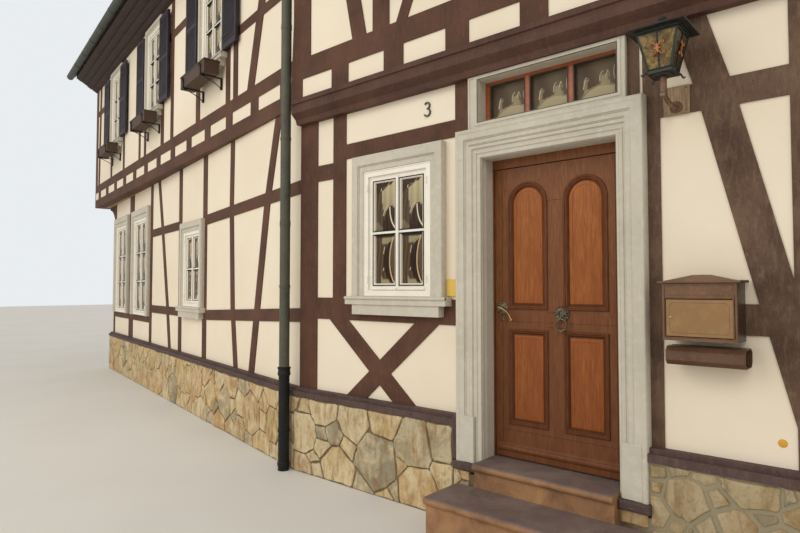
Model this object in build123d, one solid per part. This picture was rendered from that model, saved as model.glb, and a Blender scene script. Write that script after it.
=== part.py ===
# Half timbered house with a street front that turns back a little at a kink.
# Millimetres. The origin is the kink's foot on the ground, +X runs right along the right part of
# the front, +Y goes into the house and +Z is up.
import os
from math import cos, radians, sin, tan

from build123d import *

# Plan: each turn is in degrees back from the right front
TURN_GROUND = 12.65
TURN_UPPER = 10.99
TURN_ROOF = 10.99
FAR_POST = 4170
FAR_BAY = 1930
RIGHT_LENGTH = FAR_POST + FAR_BAY
LEFT_REACH = 8995
GABLE_JETTY = 774
RIGHT_JETTY = 100
DEPTH = 6500
WALL = 180
PANEL_RECESS = 10
PARTY_WALL = 240

# Levels above the ground
PLINTH_TOP = 710
SOLE_TOP = 790
BEAM_FOOT = 3350
UPPER_FOOT = 3580
UPPER_TOP = 6400
PLATE_FOOT = 6250
JOIST_TOP = UPPER_FOOT + 370
UPPER_RAIL = UPPER_FOOT + 410
UPPER_RAIL_BACK = UPPER_FOOT + 1020
FLOOR_TOP = 490
FLOOR_THICK = 200
UPPER_FLOOR_THICK = 220
ATTIC_FLOOR_THICK = 200

# Plinth and sole
PLINTH_PROUD = 60
PLINTH_INSIDE = 300
SOLE_PROUD = 75
SOLE_BEVEL = 30
JOINT = 0.6
THROUGH = 400

# Moulded beam over the door: how far out, and how high above the beam's foot
BEAM_PROFILE = [(55, 0), (70, 45), (110, 80), (125, 95), (125, 150), (112, 158), (112, 180), (125, 188)]

# Roof
PITCH = 48
ROOF_THICK = 100
EAVE_FOOT = 6600
EAVE_RIGHT = 450
EAVE_LEFT = 430
EAVE_BACK = 350
HALF_SPAN = (DEPTH + EAVE_RIGHT + EAVE_BACK) / 2
VERGE = 300
SOFFIT_DROP = 75
RIDGE_WING = 190
RIDGE_THICK = 22

# Rain water
GUTTER_RADIUS = 72
GUTTER_SKIN = 6
GUTTER_GAP = 8
GUTTER_LIFT = 5
HOOK_SPACING = 800
HOOK_WIDTH = 30
HOOK_HEIGHT = 50
PIPE_RADIUS = 50
PIPE_AT = 50
PIPE_OFF = 142
STANDPIPE_RADIUS = 62
STANDPIPE_TOP = 880
PIPE_BEND = 6060

# Window kinds: clear width and height, border at the sides, head, what stands proud, and if it has a sill
SMALL = dict(width=750, height=1095, border=125, head=140, proud=55, sill=True)
LARGE = dict(width=930, height=1799, border=185, head=185, proud=55, sill=False)
UPPER = dict(width=720, height=1400, border=100, head=100, proud=40, sill=True)
SILL_HEIGHT = 70
SILL_PROUD = 85
SILL_EAR = 55
APRON_HEIGHT = 88
APRON_PROUD = 70
APRON_INSET = 20
SASH_DEPTH = 62
UPPER_HEAD_GAP = 30
SASH_BEHIND = 12
SASH_FRAME = 50
SASH_STILE = 48
SASH_REBATE = 22
GLASS = 6
GLASS_BACK = 34
FACE_STEP = 16
FACE_STEP_AT = 0.45

SHUTTER_WIDTH = 440
SHUTTER_HEIGHT = 1400
SHUTTER_THICK = 36
SHUTTER_STILE = 55
SHUTTER_OFF = 26
SHUTTER_GAP = 14
SHUTTER_LIFT = 10
SHUTTER_SINK = 14
SHUTTER_RAIL = 50
PINTLE_HEIGHT = 40
PINTLE_REACH = 12
PINTLE_LEVELS = (150, SHUTTER_HEIGHT - 190)

BOX_LENGTH = 900
BOX_DEPTH = 190
BOX_HEIGHT = 170
BOX_SKIN = 14
BOX_OFF = 80
BOX_DROP = 215
IRON = 12
IRON_WIDTH = 30
IRON_FROM_END = 120
IRON_UPSTAND = 90
IRON_LEG = 150

# Doorway
DOOR_LEFT = 2131
DOOR_RIGHT = 3146
DOOR_HEAD = 2720
SURROUND_LEFT = 1925
SURROUND_RIGHT = 3320
SURROUND_TOP = 2940
JAMB_FOOT = 460
JAMB_BASE_FOOT = 375
JAMB_BASE_PROUD = 110
JAMB_BASE_EAR = 45
FASCIA_STEPS = [(0, 75), (72, 60), (112, 46)]
REBATE_AT = 125
REBATE = 50
FRAME_SHOW = 10
FRAME_DEPTH = 60
HEAD_FOOT = 2650
LEAF_FOOT = 498
LEAF_GAP = 5
LEAF_THICK = 55
LEAF_SET_BACK = 10
TRANSOM_LEFT = 2013
TRANSOM_RIGHT = 3208
LIGHT_LEFT = 2100
LIGHT_RIGHT = 3150
LIGHT_FOOT = 3000
LIGHT_TOP = 3318
TRANSOM_PROUD = 30
TRANSOM_LIGHTS = 3
TRANSOM_BAR = 46
TRANSOM_RAIL = 27.6
TRANSOM_GLASS = 25
TRANSOM_BACK = 80
TRANSOM_DEPTH = 50

# Steps
THRESHOLD_OUT = 180
STEP_TOP = 320
STEP_LEFT = 1980
STEP_RIGHT = 3340
STEP_OUT = 550
NOSING = 35
NOSING_HEIGHT = 50

JAMB_BASE_LAP = 10

# Door panels
PANEL_FROM_MIDDLE = 75
PANEL_WIDTH = 290
ARCH_FOOT = 1608
ARCH_TOP = 2517
LOWER_FOOT = 759
LOWER_TOP = 1432
PANEL_SINK = 16
PANEL_FIELD = 32
PANEL_RISE = 10
WEATHER_BAR = (560, 590)
WEATHER_BAR_OUT = 18
WEATHER_BAR_END = 30

# Knocker, handle and hinges
KNOCKER_X = 2690
KNOCKER_Z = 1566
BOSS_RADIUS = 40
BOSS_THICK = 18
EAR_AT = 17
EAR = 7
EAR_HALF = 4
RING_PIN = 3.6
RING_PIN_LENGTH = 46
PIN_HOLE = 4
PIN_OUT = 14
PIN_DROP = 12
RING_RADIUS = 42
RING_BAR = 6
RING_NECK = 20
HANDLE_X = 2205
HANDLE_Z = 1600
ROSE_RADIUS = 34
ROSE_THICK = 10
NECK_RADIUS = 10
NECK_PLAY = 0.5
NECK_OUT = 52
KNOB_RADIUS = 13
KNOB_LENGTH = 20
LEVER_ROUTE = [(-8, 4), (40, -6), (75, -30), (98, -62), (105, -82)]
LEVER_RADIUS = 9
HINGE_RADIUS = 9
HINGE_LENGTH = 60
HINGE_PLAY = 0.3
STRAP_REACH = 70
STRAP_END = 5
LEAF_STRAP = 8
FRAME_STRAP = 14
HINGE_LEVELS = (760, 1560, 2400)
HINGE_X = 3138
HINGE_Y = 204

# Lantern
LANTERN_X = 3500
LANTERN_OFF = 250
LANTERN_FOOT = 2960
LANTERN_TOP = 3200
LANTERN_LOW = 130
LANTERN_HIGH = 230
LANTERN_ROOF = 310
LANTERN_ROOF_RISE = 48
LANTERN_BAR = 12
LANTERN_RIM = 16
LANTERN_PLATE_HALF = 72
LANTERN_PLATE_THICK = 12
LANTERN_PLATE_DROP = (170, 4)
ARM_RADIUS = 11
ARM_DROP = 130
ARM_RISE = 30
ARM_BEND_AT = 0.7
ROOF_HEAD = 90
CAP_SIZE = 70
CAP_HEIGHT = 16
SPIKE = (24, 8)
PANE_SET_IN = 3
PANE_THICK = 4

# Letter box and newspaper tube
BOX_LEFT = 3460
BOX_RIGHT = 3840
LETTER_FOOT = 1459
LETTER_TOP = 1779
LETTER_DEPTH = 200
LETTER_SKIN = 5
LETTER_DOOR_TOP = 1690
LETTER_DOOR_FOOT = 1475
LETTER_FRAME = 15
FLAP_PLAY = 5
FLAP_OUT = 2
FLAP_THICK = 6
LETTER_PIN = 3.5
PIN_FROM_FLAP = 3
PIN_OUT_OF_FACE = 4.33
LUG_HEIGHT = 6
LUG_WIDTH = 9
LID_EAVE = 20
LID_PLATE = 6.7
LID_HEAD = (90, 40)
LID_RISE = 45
LID_PLAY = 0.3
LID_ROD = 5
LID_ROD_Y = -8
LID_ROD_Z = 1790
TUBE_FOOT = 1316
TUBE_TOP = 1420
TUBE_LEFT = 3468
TUBE_RIGHT = 3870
TUBE_SKIN = 5
TUBE_CHAMFER = 26
TUBE_OFF = 6
TUBE_PAD_END = 60
TUBE_PAD_EDGE = 30

# Brackets under the overhanging gable
BRACKET_FROM_CORNER = 90
BRACKET_DROP = 620
BRACKET_HALF = 70
BRACKET_NOSE = 60
BRACKET_SHORT = 40
BRACKET_CURVE = (0.30, 0.38)

UP = Vector(0, 0, 1)
INSIDE = (1000, 3000)

os.makedirs("parts", exist_ok=True)


# Plan lines: the angle of the outward normal in degrees, and the distance from the origin
BACK_LEFT = 2 * HALF_SPAN - EAVE_LEFT - EAVE_BACK
FRONT, RIGHT, BACK_R, BACK_L, GABLE, LEFT, STEP = range(7)
GROUND = [(-90, 0), (0, RIGHT_LENGTH), (90, DEPTH), (90 - TURN_ROOF, BACK_LEFT),
          (180 - TURN_ROOF, LEFT_REACH), (-90 - TURN_GROUND, 0)]
UPPER_PLAN = [(-90, RIGHT_JETTY), (0, RIGHT_LENGTH), (90, DEPTH), (90 - TURN_ROOF, BACK_LEFT),
              (180 - TURN_ROOF, LEFT_REACH + GABLE_JETTY), (-90 - TURN_UPPER, 0), (180, 0)]


def meet(line, other):
    """Point of the plan where two lines cross."""
    (a, p), (b, q) = (radians(line[0]), line[1]), (radians(other[0]), other[1])
    turn = cos(a) * sin(b) - sin(a) * cos(b)
    return ((p * sin(b) - q * sin(a)) / turn, (q * cos(a) - p * cos(b)) / turn)


def outline(plan, grow=0):
    """Corners of a closed plan whose lines are moved outward; corner i starts edge i."""
    lines = [(angle, reach + grow) for angle, reach in plan]
    return [meet(lines[i - 1], lines[i]) for i in range(len(lines))]


def prism(points, foot, top):
    """Upright prism over plan points."""
    face = make_face(Polyline(*[(x, y, foot) for x, y in points], close=True))
    return extrude(face, amount=top - foot, dir=UP)


def block(x0, x1, y0, y1, z0, z1):
    return Pos((x0 + x1) / 2, (y0 + y1) / 2, (z0 + z1) / 2) * Box(x1 - x0, y1 - y0, z1 - z0)


def slab(plan, edge, outer, inner, foot, top, joint=JOINT):
    """Mitred wall over one edge of a plan, with a hair joint to its neighbours."""
    out, inn = outline(plan, outer), outline(plan, -inner)
    after = (edge + 1) % len(plan)
    a, b, c, d = (Vector(*p) for p in (out[edge], out[after], inn[after], inn[edge]))
    along = (b - a).normalized() * joint
    return prism([(p.X, p.Y) for p in (a + along, b - along, c - along, d + along)], foot, top)


def frustum(x, y, low, high, z_low, z_high):
    """Upright tapered box: width and depth at the foot and at the head."""
    rings = []
    for (width, depth), z in ((low, z_low), (high, z_high)):
        rings.append([Vector(x + i * width / 2, y + j * depth / 2, z)
                      for i, j in ((-1, -1), (1, -1), (1, 1), (-1, 1))])
    faces = [make_face(Polyline(*ring, close=True)).face() for ring in rings]
    for i in range(4):
        k = (i + 1) % 4
        side = Polyline(rings[0][i], rings[0][k], rings[1][k], rings[1][i], close=True)
        faces.append(make_face(side).face())
    return Solid(Shell(faces))


def bar(a, b, radius, sides=8):
    """Straight bar of few sides between two points."""
    a, b = Vector(*a), Vector(*b)
    run = b - a
    return extrude(Plane(origin=a, z_dir=run) * RegularPolygon(radius, sides), amount=run.length,
                   dir=run.normalized())


def rod(corners, radius):
    """Round rod along straight runs, with a ball at each bend."""
    body = Part()
    for a, b in zip(corners, corners[1:]):
        run = b - a
        plane = Plane(origin=a, z_dir=run)
        body += extrude(plane * Circle(radius), amount=run.length, dir=run.normalized())
    for corner in corners[1:-1]:
        body += Pos(corner) * Sphere(radius)
    return body


class Wall:
    """A wall's outer face: a start on the plan, the way along it and the way in."""

    def __init__(self, start, end):
        self.start = Vector(*start)
        self.length = (Vector(*end) - self.start).length
        self.along = (Vector(*end) - self.start).normalized()
        side = Vector(-self.along.Y, self.along.X)
        self.inward = side if side.dot(Vector(*INSIDE) - self.start) > 0 else side * -1

    def point(self, s, z, depth=0):
        return self.start + self.along * s + self.inward * depth + UP * z

    def board(self, corners, front, back):
        """Flat piece with a drawn outline, between two depths into the wall."""
        face = make_face(Polyline(*[self.point(s, z, front) for s, z in corners], close=True))
        return extrude(face, amount=back - front, dir=self.inward)

    def rect(self, s0, s1, z0, z1, front, back):
        return self.board([(s0, z0), (s1, z0), (s1, z1), (s0, z1)], front, back)

    def post(self, points, width):
        """Upright or leaning timber along a centre line given from foot to head."""
        left = [(s - width / 2, z) for s, z in points]
        right = [(s + width / 2, z) for s, z in reversed(points)]
        return self.board(left + right, 0, WALL)

    def rail(self, points, height):
        low = [(s, z - height / 2) for s, z in points]
        high = [(s, z + height / 2) for s, z in reversed(points)]
        return self.board(low + high, 0, WALL)


class Window:
    """A window on a wall: centre along it, sill level and kind."""

    def __init__(self, wall, s, sill, kind):
        self.wall, self.s, self.sill, self.kind = wall, s, sill, kind
        self.half = kind["width"] / 2
        self.top = sill + kind["height"]
        self.outer = self.half + kind["border"]
        self.head = self.top + kind["head"]
        self.foot = sill - SILL_HEIGHT if kind["sill"] else sill
        self.sash = FACE_STEP + SASH_BEHIND - kind["proud"]

    def hole(self):
        return self.wall.rect(self.s - self.outer, self.s + self.outer, self.foot, self.head, -1, WALL + 1)

    def surround(self):
        s, proud = self.s, self.kind["proud"]
        ring = self.wall.rect(s - self.outer, s + self.outer, self.foot, self.head, -proud, WALL)
        step = self.kind["border"] * FACE_STEP_AT
        inner = self.wall.rect(s - self.half - step, s + self.half + step, self.sill, self.top + step,
                               -proud - 1, -proud + FACE_STEP)
        clear = self.wall.rect(s - self.half, s + self.half, self.sill, self.top, -proud - 1, WALL + 1)
        ring = ring - inner - clear
        if self.kind["sill"]:
            ear, inset = self.outer + SILL_EAR, self.outer - APRON_INSET
            ring += self.wall.rect(s - ear, s + ear, self.foot, self.sill, -SILL_PROUD, 0)
            ring += self.wall.rect(s - inset, s + inset, self.foot - APRON_HEIGHT, self.foot, -APRON_PROUD, 0)
        return ring

    def lights(self, front, back):
        """The two glazed openings, between two depths into the wall."""
        border = SASH_FRAME + SASH_STILE
        pieces = []
        for side in (-1, 1):
            near, far = self.s + side * SASH_STILE / 2, self.s + side * (self.half - border)
            pieces.append(self.wall.rect(min(near, far), max(near, far), self.sill + border,
                                         self.top - border, front, back))
        return pieces

    def frame(self):
        """Fixed frame, and two casements that meet at the middle."""
        s, half, low = self.s, self.half, self.sash
        frame = self.wall.rect(s - half, s + half, self.sill, self.top, low, low + SASH_DEPTH)
        frame -= self.wall.rect(s - half + SASH_FRAME, s + half - SASH_FRAME, self.sill + SASH_FRAME,
                                self.top - SASH_FRAME, low - 1, low + SASH_REBATE)
        for opening in self.lights(low - 1, low + SASH_DEPTH + 1):
            frame -= opening
        return frame

    def glass(self):
        return self.lights(self.sash + GLASS_BACK, self.sash + GLASS_BACK + GLASS)


# The wall faces
ground_corners, upper_corners = outline(GROUND), outline(UPPER_PLAN)
front = Wall(ground_corners[FRONT], ground_corners[RIGHT])
left = Wall(ground_corners[FRONT], ground_corners[LEFT])
back_right = Wall(ground_corners[BACK_R], ground_corners[BACK_L])
back_left = Wall(ground_corners[BACK_L], ground_corners[GABLE])
gable = Wall(ground_corners[LEFT], ground_corners[GABLE])
upper_front = Wall(upper_corners[FRONT], upper_corners[RIGHT])
upper_left = Wall(upper_corners[STEP], upper_corners[LEFT])
upper_back_left = Wall(upper_corners[BACK_L], upper_corners[GABLE])
upper_gable = Wall(upper_corners[LEFT], upper_corners[GABLE])

# Windows: sill levels, and places along each wall, those beside the far corner counted back from it
FRONT_SILL, LEFT_SILL, LARGE_SILL, BACK_SILL, ATTIC_SILL = 1678, 1480, 1246, 1600, 7250
UPPER_SILL = PLATE_FOOT - UPPER_HEAD_GAP - UPPER["head"] - UPPER["height"]
FRONT_WINDOW = 1275
LEFT_WINDOW = 3395
LARGE_FROM_CORNER = 835
LARGE_SPACING = 1645
UPPER_LEFT_NEAR = (2450, 5150)
UPPER_FROM_CORNER = 1990
UPPER_RIGHT = 1730
BACK_RIGHT_AT = (1500, 3300)
BACK_LEFT_AT = (1500, 4100, 6700)
BACK_UPPER_AT = (1500, 3700, 5900, 7900)
GABLE_AT = (1500, 4100)
GABLE_UPPER_AT = (1500, 4700)
ATTIC_WINDOW = 3300
large_at = left.length - LARGE_FROM_CORNER
upper_left_at = (*UPPER_LEFT_NEAR, upper_left.length - UPPER_FROM_CORNER)


def windows_on(wall, places, sill, kind):
    return [Window(wall, s, sill, kind) for s in places]


front_windows = windows_on(front, (FRONT_WINDOW, RIGHT_LENGTH - FRONT_WINDOW), FRONT_SILL, SMALL)
left_windows = windows_on(left, (LEFT_WINDOW,), LEFT_SILL, SMALL)
left_windows += windows_on(left, (large_at - LARGE_SPACING, large_at), LARGE_SILL, LARGE)
upper_windows = windows_on(upper_left, upper_left_at, UPPER_SILL, UPPER)
upper_windows += windows_on(upper_front, (UPPER_RIGHT, RIGHT_LENGTH - UPPER_RIGHT), UPPER_SILL, UPPER)
back_right_windows = windows_on(back_right, BACK_RIGHT_AT, BACK_SILL, SMALL)
back_left_windows = windows_on(back_left, BACK_LEFT_AT, BACK_SILL, SMALL)
back_upper_right_windows = windows_on(back_right, BACK_RIGHT_AT, UPPER_SILL, UPPER)
back_upper_left_windows = windows_on(upper_back_left, BACK_UPPER_AT, UPPER_SILL, UPPER)
gable_windows = windows_on(gable, GABLE_AT, BACK_SILL, SMALL)
gable_upper_windows = windows_on(upper_gable, GABLE_UPPER_AT, UPPER_SILL, UPPER)
attic_windows = windows_on(upper_gable, (ATTIC_WINDOW,), ATTIC_SILL, UPPER)
with_shutters = upper_windows + gable_upper_windows
all_windows = (front_windows + left_windows + upper_windows + back_right_windows + back_left_windows
               + back_upper_right_windows + back_upper_left_windows + gable_windows + gable_upper_windows
               + attic_windows)


def fill(wall, body, timbers, windows, holes=()):
    """Timber frame and plastered panels of one wall, cut to the wall's own body."""
    frame = Part() + timbers
    cuts = [window.hole() for window in windows] + list(holes)
    panels = (body & wall.rect(-2000, wall.length + 2000, 0, 12000, PANEL_RECESS, WALL)) - frame
    frame = frame & body
    for cut in cuts:
        frame -= cut
        panels -= cut
    return frame, panels


def bays(wall, foot, top, width=1300, post=150, rails=(), windows=(), brace=520):
    """Posts at even spacing, rails between them and a leaning brace in each end bay."""
    count = max(2, round(wall.length / width))
    step = (wall.length - post) / count
    timbers = [wall.rail([(0, top - 75), (wall.length, top - 75)], 150)]
    timbers += [wall.rail([(0, foot + 65), (wall.length, foot + 65)], 130)]
    timbers += [wall.post([(post / 2 + i * step, foot), (post / 2 + i * step, top)], post)
                for i in range(count + 1)]
    timbers += [wall.rail([(0, z), (wall.length, z)], 130) for z in rails]
    for start, lean in ((post / 2, brace), (wall.length - post / 2, -brace)):
        timbers.append(wall.post([(start + 2 * lean, foot), (start + lean * 0.4, top)], 150))
    return timbers


# Ground storey, left part of the front
def ground_left():
    top = UPPER_FOOT
    far, between = large_at, large_at - LARGE_SPACING / 2
    timbers = [
        left.post([(1710, SOLE_TOP), (1825, 1500), (1890, 2750), (1870, top)], 125),
        left.post([(1220, SOLE_TOP), (1070, 1500), (800, 2730), (530, top)], 155),
        left.post([(2890, SOLE_TOP), (2900, top)], 160),
        left.post([(4030, SOLE_TOP), (4060, top)], 150),
        left.post([(4580, SOLE_TOP), (4740, 1500), (5090, 2800), (5320, top)], 135),
        left.post([(far - 2350, SOLE_TOP), (far - 2360, top)], 150),
        left.post([(between, SOLE_TOP), (between, top)], LARGE_SPACING - 2 * left_windows[1].outer),
        left.post([(left.length - 65, SOLE_TOP), (left.length - 65, top)], 150),
        left.rail([(0, 1485), (2890, 1380)], 135),
        left.rail([(4030, 1385), (far - 2350, 1385)], 130),
        left.rail([(far - 2350, 1190), (left.length, 1190)], 112),
        left.rail([(0, 2750), (2890, 2685)], 135),
        left.rail([(4030, 2715), (far - 2350, 2715)], 130),
    ]
    body = slab(GROUND, LEFT, 0, WALL, SOLE_TOP, UPPER_FOOT)
    return fill(left, body, timbers, left_windows)


# Ground storey, right part of the front, on both sides of the doorway
def ground_front():
    mirror = RIGHT_LENGTH
    timbers = [
        front.post([(125, SOLE_TOP), (125, BEAM_FOOT)], 250),
        front.post([(555, 1555), (555, BEAM_FOOT)], 170),
        front.rail([(125, 1560), (SURROUND_LEFT + 50, 1560)], 200),
        front.rail([(555, 3000), (SURROUND_LEFT + 50, 3000)], 135),
        front.rail([(125, 2845), (555, 2845)], 150),
        front.post([(1970, 2900), (1970, BEAM_FOOT)], 200),
        front.post([(1340, SOLE_TOP), (540, 1470)], 250),
        front.post([(790, SOLE_TOP), (1590, 1470)], 250),
        front.post([(3350, SOLE_TOP), (3350, BEAM_FOOT)], 100),
        front.post([(3230, 2900), (3230, BEAM_FOOT)], 100),
        front.rail([(3350, 2873), (FAR_POST, 2873)], 166),
        front.rail([(3350, 1573), (FAR_POST, 1573)], 174),
        front.post([(FAR_POST + 60, SOLE_TOP), (FAR_POST, 1000), (FAR_POST - 200, 1800),
                    (FAR_POST - 435, 2770), (FAR_POST - 480, 2950), (FAR_POST - 600, BEAM_FOOT)], 195),
        front.post([(FAR_POST, SOLE_TOP), (FAR_POST, BEAM_FOOT)], 200),
        front.post([(mirror - 125, SOLE_TOP), (mirror - 125, BEAM_FOOT)], 250),
        front.post([(mirror - 555, 1555), (mirror - 555, BEAM_FOOT)], 170),
        front.rail([(FAR_POST, 1560), (mirror - 125, 1560)], 200),
        front.rail([(FAR_POST, 3000), (mirror - 555, 3000)], 135),
        front.rail([(mirror - 555, 2845), (mirror - 125, 2845)], 150),
        front.post([(mirror - 1340, SOLE_TOP), (mirror - 540, 1470)], 250),
        front.post([(mirror - 790, SOLE_TOP), (mirror - 1590, 1470)], 250),
    ]
    body = slab(GROUND, FRONT, 0, WALL, SOLE_TOP, BEAM_FOOT)
    doorway = front.rect(SURROUND_LEFT, SURROUND_RIGHT, 0, SURROUND_TOP, -1, WALL + 1)
    doorway += front.rect(TRANSOM_LEFT, TRANSOM_RIGHT, SURROUND_TOP - 1, BEAM_FOOT + 1, -1, WALL + 1)
    frame, panels = fill(front, body, timbers, front_windows, [doorway])
    middle = (TRANSOM_LEFT + TRANSOM_RIGHT) / 2
    near = front.rect(-2000, middle, 0, 12000, -500, 500)
    return frame & near, frame - near, panels


# Upper storey, left part of the front
def upper_left_wall():
    wall, joists = upper_left, []
    for k in range(int((wall.length - 450) / 747) + 1):
        s = 370 + 747 * k
        joists.append(wall.rect(s - 100, s + 100, UPPER_FOOT, JOIST_TOP, 0, WALL))
    reach = wall.length
    timbers = joists + [
        wall.rail([(0, UPPER_FOOT + 85), (reach, UPPER_FOOT + 85)], 170),
        wall.rail([(0, UPPER_RAIL), (reach, UPPER_RAIL)], 160),
        wall.rail([(0, PLATE_FOOT + 75), (reach, PLATE_FOOT + 75)], 150),
        wall.post([(170, UPPER_FOOT), (80, 4750), (60, PLATE_FOOT)], 130),
        wall.post([(1250, UPPER_RAIL), (550, PLATE_FOOT)], 190),
        wall.rail([(0, 4870), (1675, 4870)], 110),
        wall.rail([(3000, 5700), (4670, 5700)], 120),
        wall.rail([(reach - 1500, 5700), (reach, 5700)], 120),
        wall.post([(reach - 340, UPPER_RAIL), (reach - 430, PLATE_FOOT)], 130),
        wall.post([(reach - 90, UPPER_RAIL), (reach - 90, PLATE_FOOT)], 180),
    ]
    for s, width in ((1675, 130), (1915, 130), (3000, 150), (4170, 130), (4670, 150), (5680, 110),
                     (6040, 110), (reach - 2580, 110), (reach - 1535, 120)):
        timbers.append(wall.post([(s, UPPER_RAIL), (s, PLATE_FOOT)], width))
    body = slab(UPPER_PLAN, LEFT, 0, WALL, UPPER_FOOT, UPPER_TOP)
    return fill(wall, body, timbers, upper_windows[:3])


# Upper storey, right part of the front, with the return at the kink
def upper_front_wall():
    wall, mirror = upper_front, RIGHT_LENGTH
    timbers = [
        wall.rail([(0, 3870), (mirror, 3870)], 200),
        wall.rail([(0, PLATE_FOOT + 75), (mirror, PLATE_FOOT + 75)], 150),
        wall.rect(0, 130, UPPER_FOOT, 3800, 0, WALL),
        wall.rect(mirror - 130, mirror, UPPER_FOOT, 3800, 0, WALL),
        wall.post([(mirror / 2, 3900), (mirror / 2, PLATE_FOOT)], 180),
        wall.rail([(2400, 5150), (mirror - 2400, 5150)], 140),
    ]
    for k in range(9):
        s = 658 + 650 * k
        if s < mirror - 200:
            timbers.append(wall.rect(s - 108, s + 108, UPPER_FOOT, 3800, 0, WALL))
    for flip in (lambda s: s, lambda s: mirror - s):
        timbers += [
            wall.post([(flip(125), 3900), (flip(125), PLATE_FOOT)], 250),
            wall.post([(flip(920), 3900), (flip(425), PLATE_FOOT)], 170),
            wall.post([(flip(1165), 3900), (flip(1165), PLATE_FOOT)], 190),
            wall.post([(flip(2295), 3900), (flip(2295), PLATE_FOOT)], 190),
            wall.post([(flip(1370), 3900), (flip(1480), 4150), (flip(1700), 4400), (flip(2150), 4650)], 120),
            wall.post([(flip(2090), 3900), (flip(1980), 4150), (flip(1760), 4400), (flip(1310), 4650)], 120),
        ]
    body = slab(UPPER_PLAN, FRONT, 0, WALL, UPPER_FOOT, UPPER_TOP)
    frame, panels = fill(wall, body, timbers, upper_windows[3:])
    corner = slab(UPPER_PLAN, STEP, 0, WALL, UPPER_FOOT, UPPER_TOP)
    return frame + corner, panels


# Roof planes: the line of the eave, and the way up from it
def roof_wing(eave, ridge, verge, low, high):
    """Roof slab over one wing, from its kink's low and high points to the verge."""
    rise = HALF_SPAN * tan(radians(PITCH))
    thick = ROOF_THICK / cos(radians(PITCH))
    corners = [Vector(*low, EAVE_FOOT), Vector(*meet(eave, verge), EAVE_FOOT),
               Vector(*meet(ridge, verge), EAVE_FOOT + rise), Vector(*high, EAVE_FOOT + rise)]
    return extrude(make_face(Polyline(*corners, close=True)), amount=thick, dir=UP)


def under_roof(turn, eave):
    """Everything below the roof's underside over one wing, as a long prism with its ridge."""
    spare = RIGHT_LENGTH + LEFT_REACH
    angle = radians(turn)
    along, up_slope = Vector(-cos(angle), sin(angle)), Vector(sin(angle), cos(angle))
    base = up_slope * -eave - along * spare
    rise = HALF_SPAN * tan(radians(PITCH))
    points = [(0, -10), (2 * HALF_SPAN, -10), (2 * HALF_SPAN, EAVE_FOOT), (HALF_SPAN, EAVE_FOOT + rise),
              (0, EAVE_FOOT)]
    face = make_face(Polyline(*[base + up_slope * h + UP * z for h, z in points], close=True))
    return extrude(face, amount=2 * spare, dir=along)


front_right_eave, front_left_eave = (-90, EAVE_RIGHT), (-90 - TURN_ROOF, EAVE_LEFT)
back_right_eave = (90, DEPTH + EAVE_BACK)
back_left_eave = (90 - TURN_ROOF, 2 * HALF_SPAN - EAVE_LEFT)
ridge_right, ridge_left = (90, HALF_SPAN - EAVE_RIGHT), (90 - TURN_ROOF, HALF_SPAN - EAVE_LEFT)
front_kink, ridge_kink = meet(front_right_eave, front_left_eave), meet(ridge_right, ridge_left)
back_kink = meet(back_right_eave, back_left_eave)
verge_left, verge_right = (180 - TURN_ROOF, LEFT_REACH + GABLE_JETTY + VERGE), (0, RIGHT_LENGTH)
under_left, under_right = under_roof(TURN_ROOF, EAVE_LEFT), under_roof(0, EAVE_RIGHT)


def shifted(point, way, reach):
    """A plan point moved by a reach along the way to another point."""
    step = (Vector(*way) - Vector(*point)).normalized() * reach
    return (point[0] + step.X, point[1] + step.Y)


def roof_pair(left_eave, right_eave, kink):
    wings = []
    for eave, verge in ((left_eave, verge_left), (right_eave, verge_right)):
        ridge = (eave[0] + 180, HALF_SPAN - eave[1])
        low, high = shifted(kink, meet(eave, verge), JOINT), shifted(ridge_kink, meet(ridge, verge), JOINT)
        wings.append(roof_wing(eave, ridge, verge, low, high))
    return wings


def ridge_caps(roofs):
    """Bent sheet over the ridge of each wing."""
    caps = []
    rise = HALF_SPAN * tan(radians(PITCH)) + EAVE_FOOT + ROOF_THICK / cos(radians(PITCH))
    wing, drop = RIDGE_WING * cos(radians(PITCH)), RIDGE_WING * sin(radians(PITCH))
    for line, verge in ((ridge_left, verge_left), (ridge_right, verge_right)):
        end = Vector(*meet(line, verge))
        start = Vector(*shifted(ridge_kink, meet(line, verge), JOINT))
        along = (end - start).normalized()
        across = Vector(-along.Y, along.X)
        length = (end - start).length
        start = start + UP * rise
        points = [across * -wing - UP * drop, UP * 0, across * wing - UP * drop,
                  across * wing - UP * (drop - RIDGE_THICK), UP * RIDGE_THICK,
                  across * -wing - UP * (drop - RIDGE_THICK)]
        face = make_face(Polyline(*[start + p for p in points], close=True))
        caps.append(extrude(face, amount=length, dir=along))
    return [cap - roofs for cap in caps]


def eaves_box(wall_line, eave, start_line, end_line):
    """Boarded eaves between the wall's head and the roof, lofted between its two ends."""
    slope = tan(radians(PITCH))
    faces = []
    inner_line = (wall_line[0], wall_line[1] - WALL)
    for cut in (start_line, end_line):
        out, wall_face, inside = (Vector(*meet(line, cut)) for line in (eave, wall_line, inner_line))
        run = Vector(cos(radians(eave[0])), sin(radians(eave[0])))

        def underside(p):
            return EAVE_FOOT + (eave[1] - p.dot(run)) * slope

        points = [wall_face + UP * PLATE_FOOT, out + UP * (EAVE_FOOT - SOFFIT_DROP), out + UP * EAVE_FOOT,
                  wall_face + UP * underside(wall_face), inside + UP * underside(inside),
                  inside + UP * UPPER_TOP, wall_face + UP * UPPER_TOP]
        faces.append(make_face(Polyline(*points, close=True)).face())
    return loft(faces, ruled=True)


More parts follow.
